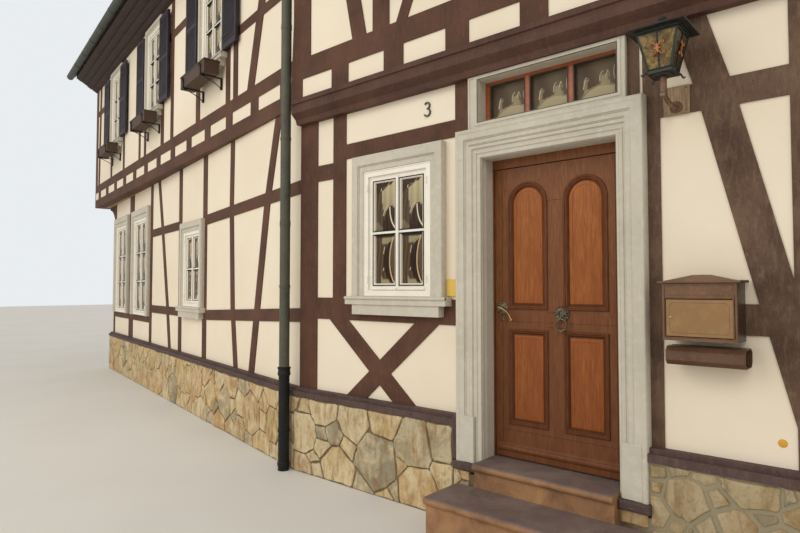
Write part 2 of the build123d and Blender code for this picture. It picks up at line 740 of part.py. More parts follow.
def gutter(eave, start, end):
    """Half round gutter along an eave between two plan points."""
    start, end = Vector(*start), Vector(*end)
    out = Vector(cos(radians(eave[0])), sin(radians(eave[0])))
    along = (end - start).normalized()
    centre = start + out * (GUTTER_RADIUS + GUTTER_GAP) + UP * (EAVE_FOOT + GUTTER_LIFT)
    plane = Plane(origin=centre, x_dir=out, z_dir=along)
    ring = Circle(GUTTER_RADIUS) - Circle(GUTTER_RADIUS - GUTTER_SKIN)
    below = ring & (Pos(0, -GUTTER_RADIUS) * Rectangle(3 * GUTTER_RADIUS, 2 * GUTTER_RADIUS))
    if plane.y_dir.Z < 0:
        below = ring & (Pos(0, GUTTER_RADIUS) * Rectangle(3 * GUTTER_RADIUS, 2 * GUTTER_RADIUS))
    return extrude(plane * below, amount=(end - start).length, dir=along)


def gutter_hooks(eave, start, end):
    """Blocks that hold a gutter off the eaves board, fitted to its round back."""
    start, end = Vector(*start), Vector(*end)
    out = Vector(cos(radians(eave[0])), sin(radians(eave[0])))
    along = (end - start).normalized()
    count = round((end - start).length / HOOK_SPACING)
    blocks = []
    for k in range(count):
        at = start + along * ((k + 0.5) * (end - start).length / count - HOOK_WIDTH / 2)
        plane = Plane(origin=at + UP * (EAVE_FOOT + GUTTER_LIFT), x_dir=out, z_dir=along)
        middle = GUTTER_GAP + GUTTER_RADIUS
        down = -1 if plane.y_dir.Z > 0 else 1
        shape = Pos(middle / 2, down * HOOK_HEIGHT / 2) * Rectangle(middle, HOOK_HEIGHT)
        shape -= Pos(middle, 0) * Circle(GUTTER_RADIUS)
        blocks.append(extrude(plane * shape, amount=HOOK_WIDTH, dir=along))
    return blocks


# Doorway pieces
def door_surround():
    """Moulded stone frame of stepped faces, cut into two jambs and a lintel."""
    ring = front.rect(SURROUND_LEFT, SURROUND_RIGHT, JAMB_FOOT, SURROUND_TOP, -FASCIA_STEPS[0][1], WALL)
    for inset, proud in FASCIA_STEPS[1:]:
        ring -= front.rect(SURROUND_LEFT + inset, SURROUND_RIGHT - inset, JAMB_FOOT - 1,
                           SURROUND_TOP - inset, -FASCIA_STEPS[0][1] - 1, -proud)
    ring -= front.rect(DOOR_LEFT, DOOR_RIGHT, JAMB_FOOT - 1, DOOR_HEAD, -200, WALL + 1)
    ring -= front.rect(DOOR_LEFT - REBATE, DOOR_RIGHT + REBATE, JAMB_FOOT - 1, DOOR_HEAD + REBATE,
                       REBATE_AT, WALL + 1)
    lintel = ring & front.rect(0, 6000, DOOR_HEAD + JOINT, 4000, -300, 300)
    jambs = ring & front.rect(0, 6000, 0, DOOR_HEAD - JOINT, -300, 300)
    return jambs, lintel


def transom():
    around = front.rect(TRANSOM_LEFT, TRANSOM_RIGHT, SURROUND_TOP, BEAM_FOOT, -TRANSOM_PROUD, WALL)
    around -= front.rect(LIGHT_LEFT, LIGHT_RIGHT, LIGHT_FOOT, LIGHT_TOP, -200, WALL + 1)
    back, glass = TRANSOM_BACK + TRANSOM_DEPTH, TRANSOM_BACK + TRANSOM_GLASS
    bars = front.rect(LIGHT_LEFT, LIGHT_RIGHT, LIGHT_FOOT, LIGHT_TOP, TRANSOM_BACK, back)
    pitch = (LIGHT_RIGHT - LIGHT_LEFT - TRANSOM_BAR) / TRANSOM_LIGHTS
    panes = []
    for k in range(TRANSOM_LIGHTS):
        s = LIGHT_LEFT + TRANSOM_BAR + k * pitch
        opening = (s, s + pitch - TRANSOM_BAR, LIGHT_FOOT + TRANSOM_RAIL, LIGHT_TOP - TRANSOM_RAIL)
        bars -= front.rect(*opening, TRANSOM_BACK - 1, back + 1)
        panes.append(front.rect(*opening, glass, glass + GLASS))
    return around, bars, panes


def step(x0, x1, front_y, back_y, top):
    """Stone step with a rounded nosing over its riser."""
    y, z, r = front_y, top, NOSING_HEIGHT / 2
    riser = y + NOSING
    edges = [Line((0, back_y, 0), (0, riser, 0)), Line((0, riser, 0), (0, riser, z - NOSING_HEIGHT)),
             Line((0, riser, z - NOSING_HEIGHT), (0, y + r, z - NOSING_HEIGHT)),
             ThreePointArc((0, y + r, z - NOSING_HEIGHT), (0, y, z - r), (0, y + r, z)),
             Line((0, y + r, z), (0, back_y, z)), Line((0, back_y, z), (0, back_y, 0))]
    return Pos(x0, 0, 0) * extrude(make_face(edges), amount=x1 - x0, dir=(1, 0, 0))


def door_frame():
    """Two posts and a head, set in the rebate of the stone."""
    x0, x1, top = DOOR_LEFT - REBATE, DOOR_RIGHT + REBATE, DOOR_HEAD + REBATE
    y0, y1 = REBATE_AT, REBATE_AT + FRAME_DEPTH
    return [block(x0, DOOR_LEFT + FRAME_SHOW, y0, y1, FLOOR_TOP, HEAD_FOOT),
            block(DOOR_RIGHT - FRAME_SHOW, x1, y0, y1, FLOOR_TOP, HEAD_FOOT),
            block(x0, x1, y0, y1, HEAD_FOOT + JOINT, top)]


def arch_outline(x0, x1, foot, top):
    """Upright panel with a half round head, as a face in the XZ plane at Y = 0."""
    radius = (x1 - x0) / 2
    edges = [Line((x0, 0, top - radius), (x0, 0, foot)), Line((x0, 0, foot), (x1, 0, foot)),
             Line((x1, 0, foot), (x1, 0, top - radius)),
             ThreePointArc((x1, 0, top - radius), ((x0 + x1) / 2, 0, top), (x0, 0, top - radius))]
    return make_face(edges)


def door():
    """Leaf with sunk places for two arched and two plain panels, and the panels themselves."""
    x0, x1 = DOOR_LEFT + FRAME_SHOW + LEAF_GAP, DOOR_RIGHT - FRAME_SHOW - LEAF_GAP
    y0 = REBATE_AT + LEAF_SET_BACK
    leaf = block(x0, x1, y0, y0 + LEAF_THICK, LEAF_FOOT, HEAD_FOOT - LEAF_GAP)
    panels = []
    middle = (x0 + x1) / 2
    for side in (-1, 1):
        inner = middle + side * PANEL_FROM_MIDDLE
        outer = inner + side * PANEL_WIDTH
        a, b, f = min(inner, outer), max(inner, outer), PANEL_FIELD
        arch = arch_outline(a, b, ARCH_FOOT, ARCH_TOP)
        leaf -= Pos(0, y0 - 1, 0) * extrude(arch, amount=PANEL_SINK + 1, dir=(0, 1, 0))
        leaf -= block(a, b, y0 - 1, y0 + PANEL_SINK, LOWER_FOOT, LOWER_TOP)
        sunk, face = y0 + PANEL_SINK, y0 + PANEL_SINK - PANEL_RISE
        field = arch_outline(a + f, b - f, ARCH_FOOT + f, ARCH_TOP - f)
        panels.append(Pos(0, face, 0) * extrude(field, amount=PANEL_RISE, dir=(0, 1, 0)))
        panels.append(block(a + f, b - f, face, sunk, LOWER_FOOT + f, LOWER_TOP - f))
    leaf += block(x0 + WEATHER_BAR_END, x1 - WEATHER_BAR_END, y0 - WEATHER_BAR_OUT, y0, *WEATHER_BAR)
    return leaf, panels


def hinges():
    """Upper knuckles on the leaf and lower knuckles on the frame."""
    upper, lower = [], []
    y_leaf = REBATE_AT + LEAF_SET_BACK + LEAF_THICK
    y_frame = REBATE_AT + FRAME_DEPTH
    near, far = 2, HINGE_LENGTH - STRAP_END
    knuckle = Cylinder(HINGE_RADIUS, HINGE_LENGTH)
    for z in HINGE_LEVELS:
        middle = HINGE_LENGTH / 2
        strap = block(HINGE_X - STRAP_REACH, HINGE_X - near, y_leaf, y_leaf + LEAF_STRAP,
                      z + STRAP_END, z + far)
        upper.append(strap + Pos(HINGE_X, HINGE_Y, z + middle + HINGE_PLAY) * knuckle)
        strap = block(HINGE_X + near, HINGE_X + REBATE, y_frame, y_frame + FRAME_STRAP,
                      z - far, z - STRAP_END)
        lower.append(strap + Pos(HINGE_X, HINGE_Y, z - middle) * knuckle)
    return upper, lower


def across(x, y, z, radius, length):
    """Round bar along X."""
    return Pos(x, y, z) * Rot(0, 90, 0) * Cylinder(radius, length)


def outward(x, y, z, radius, length):
    """Round bar along Y."""
    return Pos(x, y, z) * Rot(90, 0, 0) * Cylinder(radius, length)


def knocker():
    """Round boss with two ears, and the ring with its pin between them."""
    face = REBATE_AT + LEAF_SET_BACK
    boss = outward(KNOCKER_X, face - BOSS_THICK / 2, KNOCKER_Z, BOSS_RADIUS, BOSS_THICK)
    pin_y, pin_z = face - BOSS_THICK - PIN_OUT, KNOCKER_Z - PIN_DROP
    for x in (KNOCKER_X - EAR_AT, KNOCKER_X + EAR_AT):
        boss += block(x - EAR_HALF, x + EAR_HALF, pin_y - EAR, face - BOSS_THICK + 1,
                      pin_z - EAR, pin_z + EAR)
    boss -= across(KNOCKER_X, pin_y, pin_z, PIN_HOLE, RING_PIN_LENGTH + 14)
    pin = across(KNOCKER_X, pin_y, pin_z, RING_PIN, RING_PIN_LENGTH)
    neck = Pos(KNOCKER_X, pin_y, pin_z - RING_NECK / 2) * Box(10, 8, RING_NECK)
    ring = revolve(Plane.XZ * Pos(RING_RADIUS, 0) * RegularPolygon(RING_BAR, 6), Axis.Z)
    ring = Pos(KNOCKER_X, pin_y, pin_z - RING_NECK - RING_RADIUS) * Rot(90, 0, 0) * ring
    return boss, ring + pin + neck


def handle():
    """Rose on the leaf, and a lever that curves down to the right."""
    face = REBATE_AT + LEAF_SET_BACK
    rose = outward(HANDLE_X, face - ROSE_THICK / 2, HANDLE_Z, ROSE_RADIUS, ROSE_THICK)
    rose -= outward(HANDLE_X, face - ROSE_THICK / 2, HANDLE_Z, NECK_RADIUS + NECK_PLAY, ROSE_THICK + 2)
    y = face - NECK_OUT
    neck_end = y - NECK_RADIUS + 1
    lever = outward(HANDLE_X, (neck_end + face - 1) / 2, HANDLE_Z, NECK_RADIUS, face - 1 - neck_end)
    points = [(HANDLE_X + dx, y, HANDLE_Z + dz) for dx, dz in LEVER_ROUTE]
    for a, b in zip(points, points[1:]):
        lever += bar(a, b, LEVER_RADIUS)
    return rose, lever + outward(*points[-1], KNOB_RADIUS, KNOB_LENGTH)


def lantern():
    """Wall plate with a bent arm, and a tapered lamp with a bar at each corner and a hipped roof."""
    x, y, bend = LANTERN_X, -LANTERN_OFF, -LANTERN_OFF * ARM_BEND_AT
    arm_foot = LANTERN_FOOT - ARM_DROP
    stem_foot = arm_foot + ARM_RISE - ARM_RADIUS
    plate_foot, plate_top = (LANTERN_FOOT - drop for drop in LANTERN_PLATE_DROP)
    bracket = block(x - LANTERN_PLATE_HALF, x + LANTERN_PLATE_HALF, -LANTERN_PLATE_THICK, 0,
                    plate_foot, plate_top)
    bracket += bar((x, -LANTERN_PLATE_THICK / 2, arm_foot), (x, bend, arm_foot), ARM_RADIUS)
    bracket += bar((x, bend, arm_foot), (x, y, arm_foot + ARM_RISE), ARM_RADIUS)
    bracket += bar((x, y, stem_foot), (x, y, LANTERN_FOOT), ARM_RADIUS)
    bracket += Pos(x, y, stem_foot) * Box(2 * ARM_RADIUS + 8, 2 * ARM_RADIUS + 8, LANTERN_BAR)

    low, high, thin, rim = LANTERN_LOW, LANTERN_HIGH, LANTERN_BAR, LANTERN_RIM
    foot, top, roof_top = LANTERN_FOOT, LANTERN_TOP, LANTERN_TOP + LANTERN_ROOF_RISE
    spike_foot, spike_top = roof_top + CAP_HEIGHT, roof_top + 2 * CAP_HEIGHT

    def taper(width, depth, z_low=foot, z_high=top):
        return frustum(x, y, (low + width, low + depth), (high + width, high + depth), z_low, z_high)

    frame = Pos(x, y, foot + rim / 2) * Box(low + 10, low + 10, rim)
    frame += Pos(x, y, top - rim / 2) * Box(high + 10, high + 10, rim)
    core = taper(-2 * thin, -2 * thin, foot + 10, top - 10)
    way_x = taper(20, -2 * thin, foot + rim, top - rim)
    way_y = taper(-2 * thin, 20, foot + rim, top - rim)
    frame += taper(0, 0) - way_x - way_y - core
    frame += frustum(x, y, (LANTERN_ROOF, LANTERN_ROOF), (ROOF_HEAD, ROOF_HEAD), top, roof_top)
    frame += Pos(x, y, roof_top + CAP_HEIGHT / 2) * Box(CAP_SIZE, CAP_SIZE, CAP_HEIGHT)
    frame += frustum(x, y, (SPIKE[0], SPIKE[0]), (SPIKE[1], SPIKE[1]), spike_foot, spike_top)
    outer = taper(-2 * PANE_SET_IN, -2 * PANE_SET_IN)
    inner = -2 * (PANE_SET_IN + PANE_THICK)
    glass = (way_x + way_y) & (outer - taper(inner, inner, foot - 1, top + 1))
    return bracket, frame, [pane for pane in glass.solids() if pane.volume > 500]


def letter_box():
    """Open box with a flap in its front on a pin, and a hipped lid on a rod along the wall."""
    x0, x1, z0, z1, depth, skin = BOX_LEFT, BOX_RIGHT, LETTER_FOOT, LETTER_TOP, LETTER_DEPTH, LETTER_SKIN
    low, high = LETTER_DOOR_FOOT, LETTER_DOOR_TOP
    body = block(x0, x1, -depth, 0, z0, z1)
    body -= block(x0 + skin, x1 - skin, -depth + skin, -skin, z0 + skin, z1 + 1)
    body -= block(x0 + LETTER_FRAME, x1 - LETTER_FRAME, -depth - 1, -depth + skin + 1, low, high)
    flap_left, flap_right = x0 + LETTER_FRAME + FLAP_PLAY, x1 - LETTER_FRAME - FLAP_PLAY
    flap = block(flap_left, flap_right, -depth - FLAP_OUT, -depth - FLAP_OUT + FLAP_THICK,
                 low + FLAP_PLAY, high - FLAP_PLAY)
    pin_x, pin_y = flap_right + PIN_FROM_FLAP, -depth - PIN_OUT_OF_FACE
    body += Pos(pin_x, pin_y, (low + high) / 2) * Cylinder(LETTER_PIN, high - low + 8)
    for z in (low - 4, high - 2):
        body += block(pin_x, pin_x + LUG_WIDTH, pin_y - LETTER_PIN, -depth + 1, z, z + LUG_HEIGHT)
    lid_x, lid_y, lid_foot = (x0 + x1) / 2, -(depth + LID_EAVE) / 2 - 5, z1 + LID_PLAY
    plate_width, plate_depth = x1 - x0 + 2 * LID_EAVE, depth + LID_EAVE - 2
    lid = Pos(lid_x, lid_y, lid_foot + LID_PLATE / 2) * Box(plate_width, plate_depth, LID_PLATE)
    slope_foot = (x1 - x0 + LID_EAVE, depth - 8)
    lid += frustum(lid_x, lid_y, slope_foot, LID_HEAD, lid_foot + LID_PLATE, z1 + LID_RISE)
    return body, flap, lid + across(lid_x, LID_ROD_Y, LID_ROD_Z, LID_ROD, plate_width)


def newspaper_tube():
    x0, x1 = TUBE_LEFT, TUBE_RIGHT
    height, width = TUBE_TOP - TUBE_FOOT, LETTER_DEPTH - LID_EAVE
    middle = (x0, -width / 2 - TUBE_OFF, (TUBE_TOP + TUBE_FOOT) / 2)
    plane = Plane(origin=middle, x_dir=(0, 1, 0), z_dir=(1, 0, 0))
    ring = chamfer(Rectangle(width, height).vertices(), TUBE_CHAMFER)
    ring -= chamfer(Rectangle(width - 2 * TUBE_SKIN, height - 2 * TUBE_SKIN).vertices(), TUBE_CHAMFER - 2)
    tube = extrude(plane * ring, amount=x1 - x0, dir=(1, 0, 0))
    return tube + block(x0 + TUBE_PAD_END, x1 - TUBE_PAD_END, -TUBE_OFF - 2, PANEL_RECESS,
                        TUBE_FOOT + TUBE_PAD_EDGE, TUBE_TOP - TUBE_PAD_EDGE)


def shutters():
    """Leaf on each side of a window, sunk behind a border and a middle rail, on two pintles."""
    leaves = []
    front_face, back_face = -SHUTTER_OFF - SHUTTER_THICK, -SHUTTER_OFF
    for window in with_shutters:
        for side in (-1, 1):
            jamb = window.s + side * window.outer
            near = jamb + side * SHUTTER_GAP
            far = near + side * SHUTTER_WIDTH
            a, b = min(near, far), max(near, far)
            foot = window.sill + SHUTTER_LIFT
            head, middle = foot + SHUTTER_HEIGHT, foot + SHUTTER_HEIGHT / 2
            leaf = window.wall.rect(a, b, foot, head, front_face, back_face)
            for low, high in ((foot + SHUTTER_STILE + SHUTTER_LIFT, middle - SHUTTER_RAIL / 2),
                              (middle + SHUTTER_RAIL / 2, head - SHUTTER_STILE)):
                leaf -= window.wall.rect(a + SHUTTER_STILE, b - SHUTTER_STILE, low, high, front_face - 1,
                                         front_face + SHUTTER_SINK)
            c, d = min(jamb, near + side * PINTLE_REACH), max(jamb, near + side * PINTLE_REACH)
            for level in PINTLE_LEVELS:
                leaf += window.wall.rect(c, d, foot + level, foot + level + PINTLE_HEIGHT, back_face, 0)
            leaves.append(leaf)
    return leaves


def flower_boxes(frame_left, frame_right):
    """Troughs under the upper windows, and the three bars that carry each end from the wall."""
    boxes, irons = [], []
    half, front_face, back_face = IRON_WIDTH / 2, -BOX_OFF - BOX_DEPTH, -BOX_OFF
    for window in upper_windows:
        frame = frame_left if window.wall is upper_left else frame_right
        wall, foot = window.wall, window.foot - BOX_DROP
        a, b = window.s - BOX_LENGTH / 2, window.s + BOX_LENGTH / 2
        box = wall.rect(a, b, foot, foot + BOX_HEIGHT, front_face, back_face)
        box -= wall.rect(a + BOX_SKIN, b - BOX_SKIN, foot + BOX_SKIN, foot + BOX_HEIGHT + 1,
                         front_face + BOX_SKIN, back_face - BOX_SKIN)
        boxes.append(box)
        for at in (a + IRON_FROM_END, b - IRON_FROM_END):
            c, d = at - half, at + half
            irons.append(wall.rect(c, d, foot - IRON, foot, front_face - IRON, -IRON))
            irons.append(wall.rect(c, d, foot, foot + IRON_UPSTAND, front_face - IRON, front_face))
            irons.append(wall.rect(c, d, foot - IRON_LEG, foot, -IRON, PANEL_RECESS) - frame)
    return boxes, irons


def gable_brackets():
    """Curved brackets under the overhanging gable."""
    pieces = []
    span = GABLE_JETTY - WALL - BRACKET_SHORT
    foot, nose = UPPER_FOOT - BRACKET_DROP, UPPER_FOOT - BRACKET_NOSE
    out = gable.inward * -span
    for s in (BRACKET_FROM_CORNER, gable.length / 2, gable.length - BRACKET_FROM_CORNER):
        base = gable.point(s, 0)
        a, b = base + UP * foot, base + out + UP * nose
        head, corner = base + UP * UPPER_FOOT, base + out + UP * UPPER_FOOT
        hollow = base + out * BRACKET_CURVE[0] + UP * (UPPER_FOOT - BRACKET_DROP * BRACKET_CURVE[1])
        edges = [ThreePointArc(a, hollow, b), Line(b, corner), Line(corner, head), Line(head, a)]
        pieces.append(extrude(make_face(edges), amount=BRACKET_HALF, both=True, dir=gable.along))
    return pieces


def save(name, *shapes):
    solids = []
    for shape in shapes:
        if isinstance(shape, (list, tuple)):
            solids += [s for piece in shape for s in piece.solids()]
        else:
            solids += list(shape.solids())
    export_step(Compound(children=solids), os.path.join("parts", name + ".step"))


def main():
    # Plinth: rubble walls from the ground up, open under the doorway
    def plinth_wall(edge, joint=JOINT):
        return slab(GROUND, edge, PLINTH_PROUD, PLINTH_INSIDE, 0, PLINTH_TOP, joint)

    base_left, base_right = SURROUND_LEFT - JAMB_BASE_EAR, SURROUND_RIGHT + JAMB_BASE_EAR
    plinth = [plinth_wall(edge) for edge in (RIGHT, BACK_R, BACK_L, GABLE)]
    street = plinth_wall(FRONT, joint=0) + plinth_wall(LEFT, joint=0)
    for x0, x1, foot, top in ((SURROUND_LEFT, SURROUND_RIGHT, JAMB_FOOT, PLINTH_TOP + 10),
                              (base_left, base_right, JAMB_BASE_FOOT, JAMB_FOOT),
                              (DOOR_LEFT, DOOR_RIGHT, -10, PLINTH_TOP + 10)):
        street -= block(x0, x1, -THROUGH, THROUGH, foot, top)
    save("plinth_front", street)
    save("plinth_back", plinth)

    soles = []
    for edge in (FRONT, BACK_R, BACK_L, GABLE, LEFT):
        sole = slab(GROUND, edge, SOLE_PROUD, WALL, PLINTH_TOP, SOLE_TOP - SOLE_BEVEL)
        sole += slab(GROUND, edge, SOLE_PROUD - SOLE_BEVEL, WALL, SOLE_TOP - SOLE_BEVEL, SOLE_TOP)
        soles.append(sole)
    soles[0] -= block(SURROUND_LEFT, SURROUND_RIGHT, -THROUGH, THROUGH, PLINTH_TOP - 10, SOLE_TOP + 10)
    save("sole_plates", soles)

    # Timber frames and panels
    panels_ground, panels_upper = [], []
    frame, panels = ground_left()
    save("frame_ground_left", frame)
    panels_ground.append(panels)
    near, far, panels = ground_front()
    save("frame_window_bay", near)
    save("frame_right_bay", far)
    panels_ground.append(panels)
    frame_left, panels = upper_left_wall()
    save("frame_upper_left", frame_left)
    panels_upper.append(panels)
    frame_right, panels = upper_front_wall()
    save("frame_upper_right", frame_right)
    panels_upper.append(panels)

    frames = []
    for wall, edge, windows in ((back_right, BACK_R, back_right_windows),
                                (back_left, BACK_L, back_left_windows), (gable, GABLE, gable_windows)):
        body = slab(GROUND, edge, 0, WALL, SOLE_TOP, UPPER_FOOT)
        frame, panels = fill(wall, body, bays(wall, SOLE_TOP, UPPER_FOOT, rails=(1450, 2750)), windows)
        frames.append(frame)
        panels_ground.append(panels)
    save("frame_ground_back", frames)
    frames = []
    for wall, edge, windows in ((back_right, BACK_R, back_upper_right_windows),
                                (upper_back_left, BACK_L, back_upper_left_windows)):
        body = slab(UPPER_PLAN, edge, 0, WALL, UPPER_FOOT, UPPER_TOP)
        frame, panels = fill(wall, body, bays(wall, UPPER_FOOT, UPPER_TOP, rails=(UPPER_RAIL, UPPER_RAIL_BACK)), windows)
        frames.append(frame)
        panels_upper.append(panels)
    save("frame_upper_back", frames)
    body = slab(UPPER_PLAN, GABLE, 0, WALL, UPPER_FOOT, 12000) & under_left
    timbers = bays(upper_gable, UPPER_FOOT, UPPER_TOP, rails=(UPPER_RAIL, UPPER_RAIL_BACK))
    timbers += [upper_gable.post([(s, UPPER_TOP - 10), (s, 11000)], 140) for s in (1500, 2700, 3900, 5100)]
    timbers += [upper_gable.rail([(0, z), (upper_gable.length, z)], 140) for z in (7100, 8900)]
    frame, panels = fill(upper_gable, body, timbers, gable_upper_windows + attic_windows)
    save("frame_gable", frame)
    panels_upper.append(panels)
    save("infill_ground", panels_ground)
    save("infill_upper", panels_upper)

    # Moulded beam over the door, and the party wall
    profile = [(0, -y, BEAM_FOOT + rise) for y, rise in BEAM_PROFILE]
    profile += [(0, -BEAM_PROFILE[-1][0], UPPER_FOOT), (0, WALL, UPPER_FOOT), (0, WALL, BEAM_FOOT)]
    beam = extrude(make_face(Polyline(*profile, close=True)), amount=RIGHT_LENGTH, dir=(1, 0, 0))
    beam -= slab(GROUND, LEFT, 5, WALL + 5, 0, UPPER_FOOT + 1)
    save("moulded_beam", beam)
    party = slab(GROUND, RIGHT, 0, PARTY_WALL, PLINTH_TOP, UPPER_FOOT)
    party += slab(UPPER_PLAN, RIGHT, 0, PARTY_WALL, UPPER_FOOT, 12000) & under_right
    party -= beam
    for plan, edge, foot, top in ((GROUND, FRONT, PLINTH_TOP, BEAM_FOOT),
                                  (GROUND, BACK_R, PLINTH_TOP, UPPER_FOOT),
                                  (UPPER_PLAN, FRONT, UPPER_FOOT, UPPER_TOP),
                                  (UPPER_PLAN, BACK_R, UPPER_FOOT, UPPER_TOP)):
        party -= slab(plan, edge, 100, WALL, foot, top)
    save("party_wall", party)

    # Floors
    save("ground_floor", prism(outline(GROUND, -PLINTH_INSIDE), FLOOR_TOP - FLOOR_THICK, FLOOR_TOP))
    upper_floor = prism(outline(UPPER_PLAN, -WALL), UPPER_FOOT, UPPER_FOOT + UPPER_FLOOR_THICK) - party
    save("upper_floor", upper_floor)
    attic_floor = prism(outline(UPPER_PLAN, -WALL), UPPER_TOP - ATTIC_FLOOR_THICK, UPPER_TOP) - party
    save("attic_floor", attic_floor)

    # Roof
    roof_front = roof_pair(front_left_eave, front_right_eave, front_kink)
    roof_back = roof_pair(back_left_eave, back_right_eave, back_kink)
    save("roof_front", roof_front)
    save("roof_back", roof_back)
    save("ridge_caps", ridge_caps(roof_front + roof_back))
    gable_line, party_line = (180 - TURN_ROOF, LEFT_REACH + GABLE_JETTY), (0, RIGHT_LENGTH - PARTY_WALL)
    kink_x, back_x = front_kink[0], outline(GROUND)[BACK_L][0]
    eaves = [
        eaves_box((-90 - TURN_UPPER, 0), front_left_eave, (0, -JOINT), gable_line),
        eaves_box((-90, RIGHT_JETTY), front_left_eave, (0, JOINT), (0, kink_x - JOINT)),
        eaves_box((-90, RIGHT_JETTY), front_right_eave, (0, kink_x + JOINT), party_line),
        eaves_box((90, DEPTH), back_right_eave, party_line, (0, back_x + 60)),
        eaves_box((90 - TURN_ROOF, BACK_LEFT), back_left_eave, (0, back_x - 60), gable_line),
    ]
    gable_body = slab(UPPER_PLAN, GABLE, 0, WALL, UPPER_TOP, 12000)
    eaves = [box - gable_body - roof_front - roof_back for box in eaves]
    save("eaves_boards", eaves)

    ends = meet(front_left_eave, verge_left), meet(front_right_eave, verge_right)
    left_run = front_left_eave, ends[0], shifted(front_kink, ends[0], 15)
    right_run = front_right_eave, shifted(front_kink, ends[1], 15), ends[1]
    save("gutters", [gutter(*left_run), gutter(*right_run)])
    save("gutter_hooks", gutter_hooks(*left_run), gutter_hooks(*right_run))

    pipe_foot = upper_left.point(PIPE_AT, 0, -PIPE_OFF)
    outlet_line = (front_left_eave[0], EAVE_LEFT + GUTTER_GAP + GUTTER_RADIUS)
    outlet = Vector(*meet(outlet_line, (180 - TURN_UPPER, PIPE_AT)))
    corners = [pipe_foot + UP * STANDPIPE_TOP, pipe_foot + UP * PIPE_BEND,
               outlet + UP * (PIPE_BEND + 160), outlet + UP * (EAVE_FOOT + GUTTER_LIFT - GUTTER_RADIUS)]
    save("downpipe", rod(corners, PIPE_RADIUS))
    stand = Pos(pipe_foot.X, pipe_foot.Y, STANDPIPE_TOP / 2) * Cylinder(STANDPIPE_RADIUS, STANDPIPE_TOP)
    save("standpipe", stand)

    # Windows
    save("window_surrounds", [window.surround() for window in all_windows])
    save("window_frames", [window.frame() for window in all_windows])
    panes = [pane for window in all_windows for pane in window.glass()]
    save("shutters", shutters())
    boxes, irons = flower_boxes(frame_left, frame_right)
    save("flower_boxes", boxes)
    save("flower_box_irons", irons)

    # Doorway
    jambs, lintel = door_surround()
    save("door_jambs", jambs)
    save("door_lintel", lintel)
    spans = (base_left, DOOR_LEFT + JAMB_BASE_LAP), (DOOR_RIGHT - JAMB_BASE_LAP, base_right)
    bases = [block(x0, x1, -JAMB_BASE_PROUD, WALL, JAMB_BASE_FOOT, JAMB_FOOT) for x0, x1 in spans]
    threshold = step(DOOR_LEFT, DOOR_RIGHT, -THRESHOLD_OUT, PLINTH_INSIDE, FLOOR_TOP)
    save("jamb_bases", [base - threshold for base in bases])
    around, bars, lights = transom()
    save("transom_surround", around)
    save("transom_frame", bars)
    save("window_glass", panes + lights)
    save("threshold", threshold)
    save("entrance_step", step(STEP_LEFT, STEP_RIGHT, -STEP_OUT, NOSING - THRESHOLD_OUT, STEP_TOP))
    upper_knuckles, lower_knuckles = hinges()
    save("door_frame", door_frame(), lower_knuckles)
    leaf, leaf_panels = door()
    save("door_leaf", leaf)
    save("door_panels", leaf_panels)
    boss, ring = knocker()
    rose, lever = handle()
    save("door_fittings", boss, rose, upper_knuckles)
    save("door_handle", lever)
    save("knocker_ring", ring)

    # Lantern, letter box and newspaper tube
    bracket, lamp, lamp_glass = lantern()
    save("lantern_bracket", bracket)
    save("lantern_frame", lamp)
    save("lantern_glass", lamp_glass)
    body, flap, lid = letter_box()
    save("mailbox_body", body)
    save("mailbox_door", flap)
    save("mailbox_lid", lid)
    save("newspaper_tube", newspaper_tube())
    save("gable_brackets", gable_brackets())


main()
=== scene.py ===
"""Looks of the half timbered house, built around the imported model."""
import random
from math import cos, pi, radians, sin, sqrt, tan

import bpy
import numpy as np
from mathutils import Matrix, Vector


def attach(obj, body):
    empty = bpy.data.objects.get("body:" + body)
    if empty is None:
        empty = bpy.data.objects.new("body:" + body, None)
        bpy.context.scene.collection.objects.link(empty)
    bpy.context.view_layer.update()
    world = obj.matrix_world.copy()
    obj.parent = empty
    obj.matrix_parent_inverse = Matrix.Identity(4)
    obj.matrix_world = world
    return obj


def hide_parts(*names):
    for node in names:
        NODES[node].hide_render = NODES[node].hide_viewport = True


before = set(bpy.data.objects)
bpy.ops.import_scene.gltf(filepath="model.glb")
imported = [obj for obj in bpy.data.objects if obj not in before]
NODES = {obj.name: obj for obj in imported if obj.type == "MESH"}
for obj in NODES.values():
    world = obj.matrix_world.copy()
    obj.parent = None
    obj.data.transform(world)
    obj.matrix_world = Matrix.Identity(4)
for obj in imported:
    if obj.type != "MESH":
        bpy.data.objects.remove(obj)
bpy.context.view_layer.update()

UP, TO_STREET = Vector((0, 0, 1)), Vector((0, -1, 0))
SMOOTH_ANGLE = radians(34)
RIGHT_OF_DOOR = (3.2, 3.4)


def lin(code):
    """Linear colour from an sRGB hex code."""
    parts = [int(code[i:i + 2], 16) / 255 for i in (0, 2, 4)]
    return tuple(c / 12.92 if c < 0.04045 else ((c + 0.055) / 1.055) ** 2.4 for c in parts) + (1.0,)


def place(name, data):
    """New object in the scene."""
    piece = bpy.data.objects.new(name, data)
    bpy.context.scene.collection.objects.link(piece)
    return piece


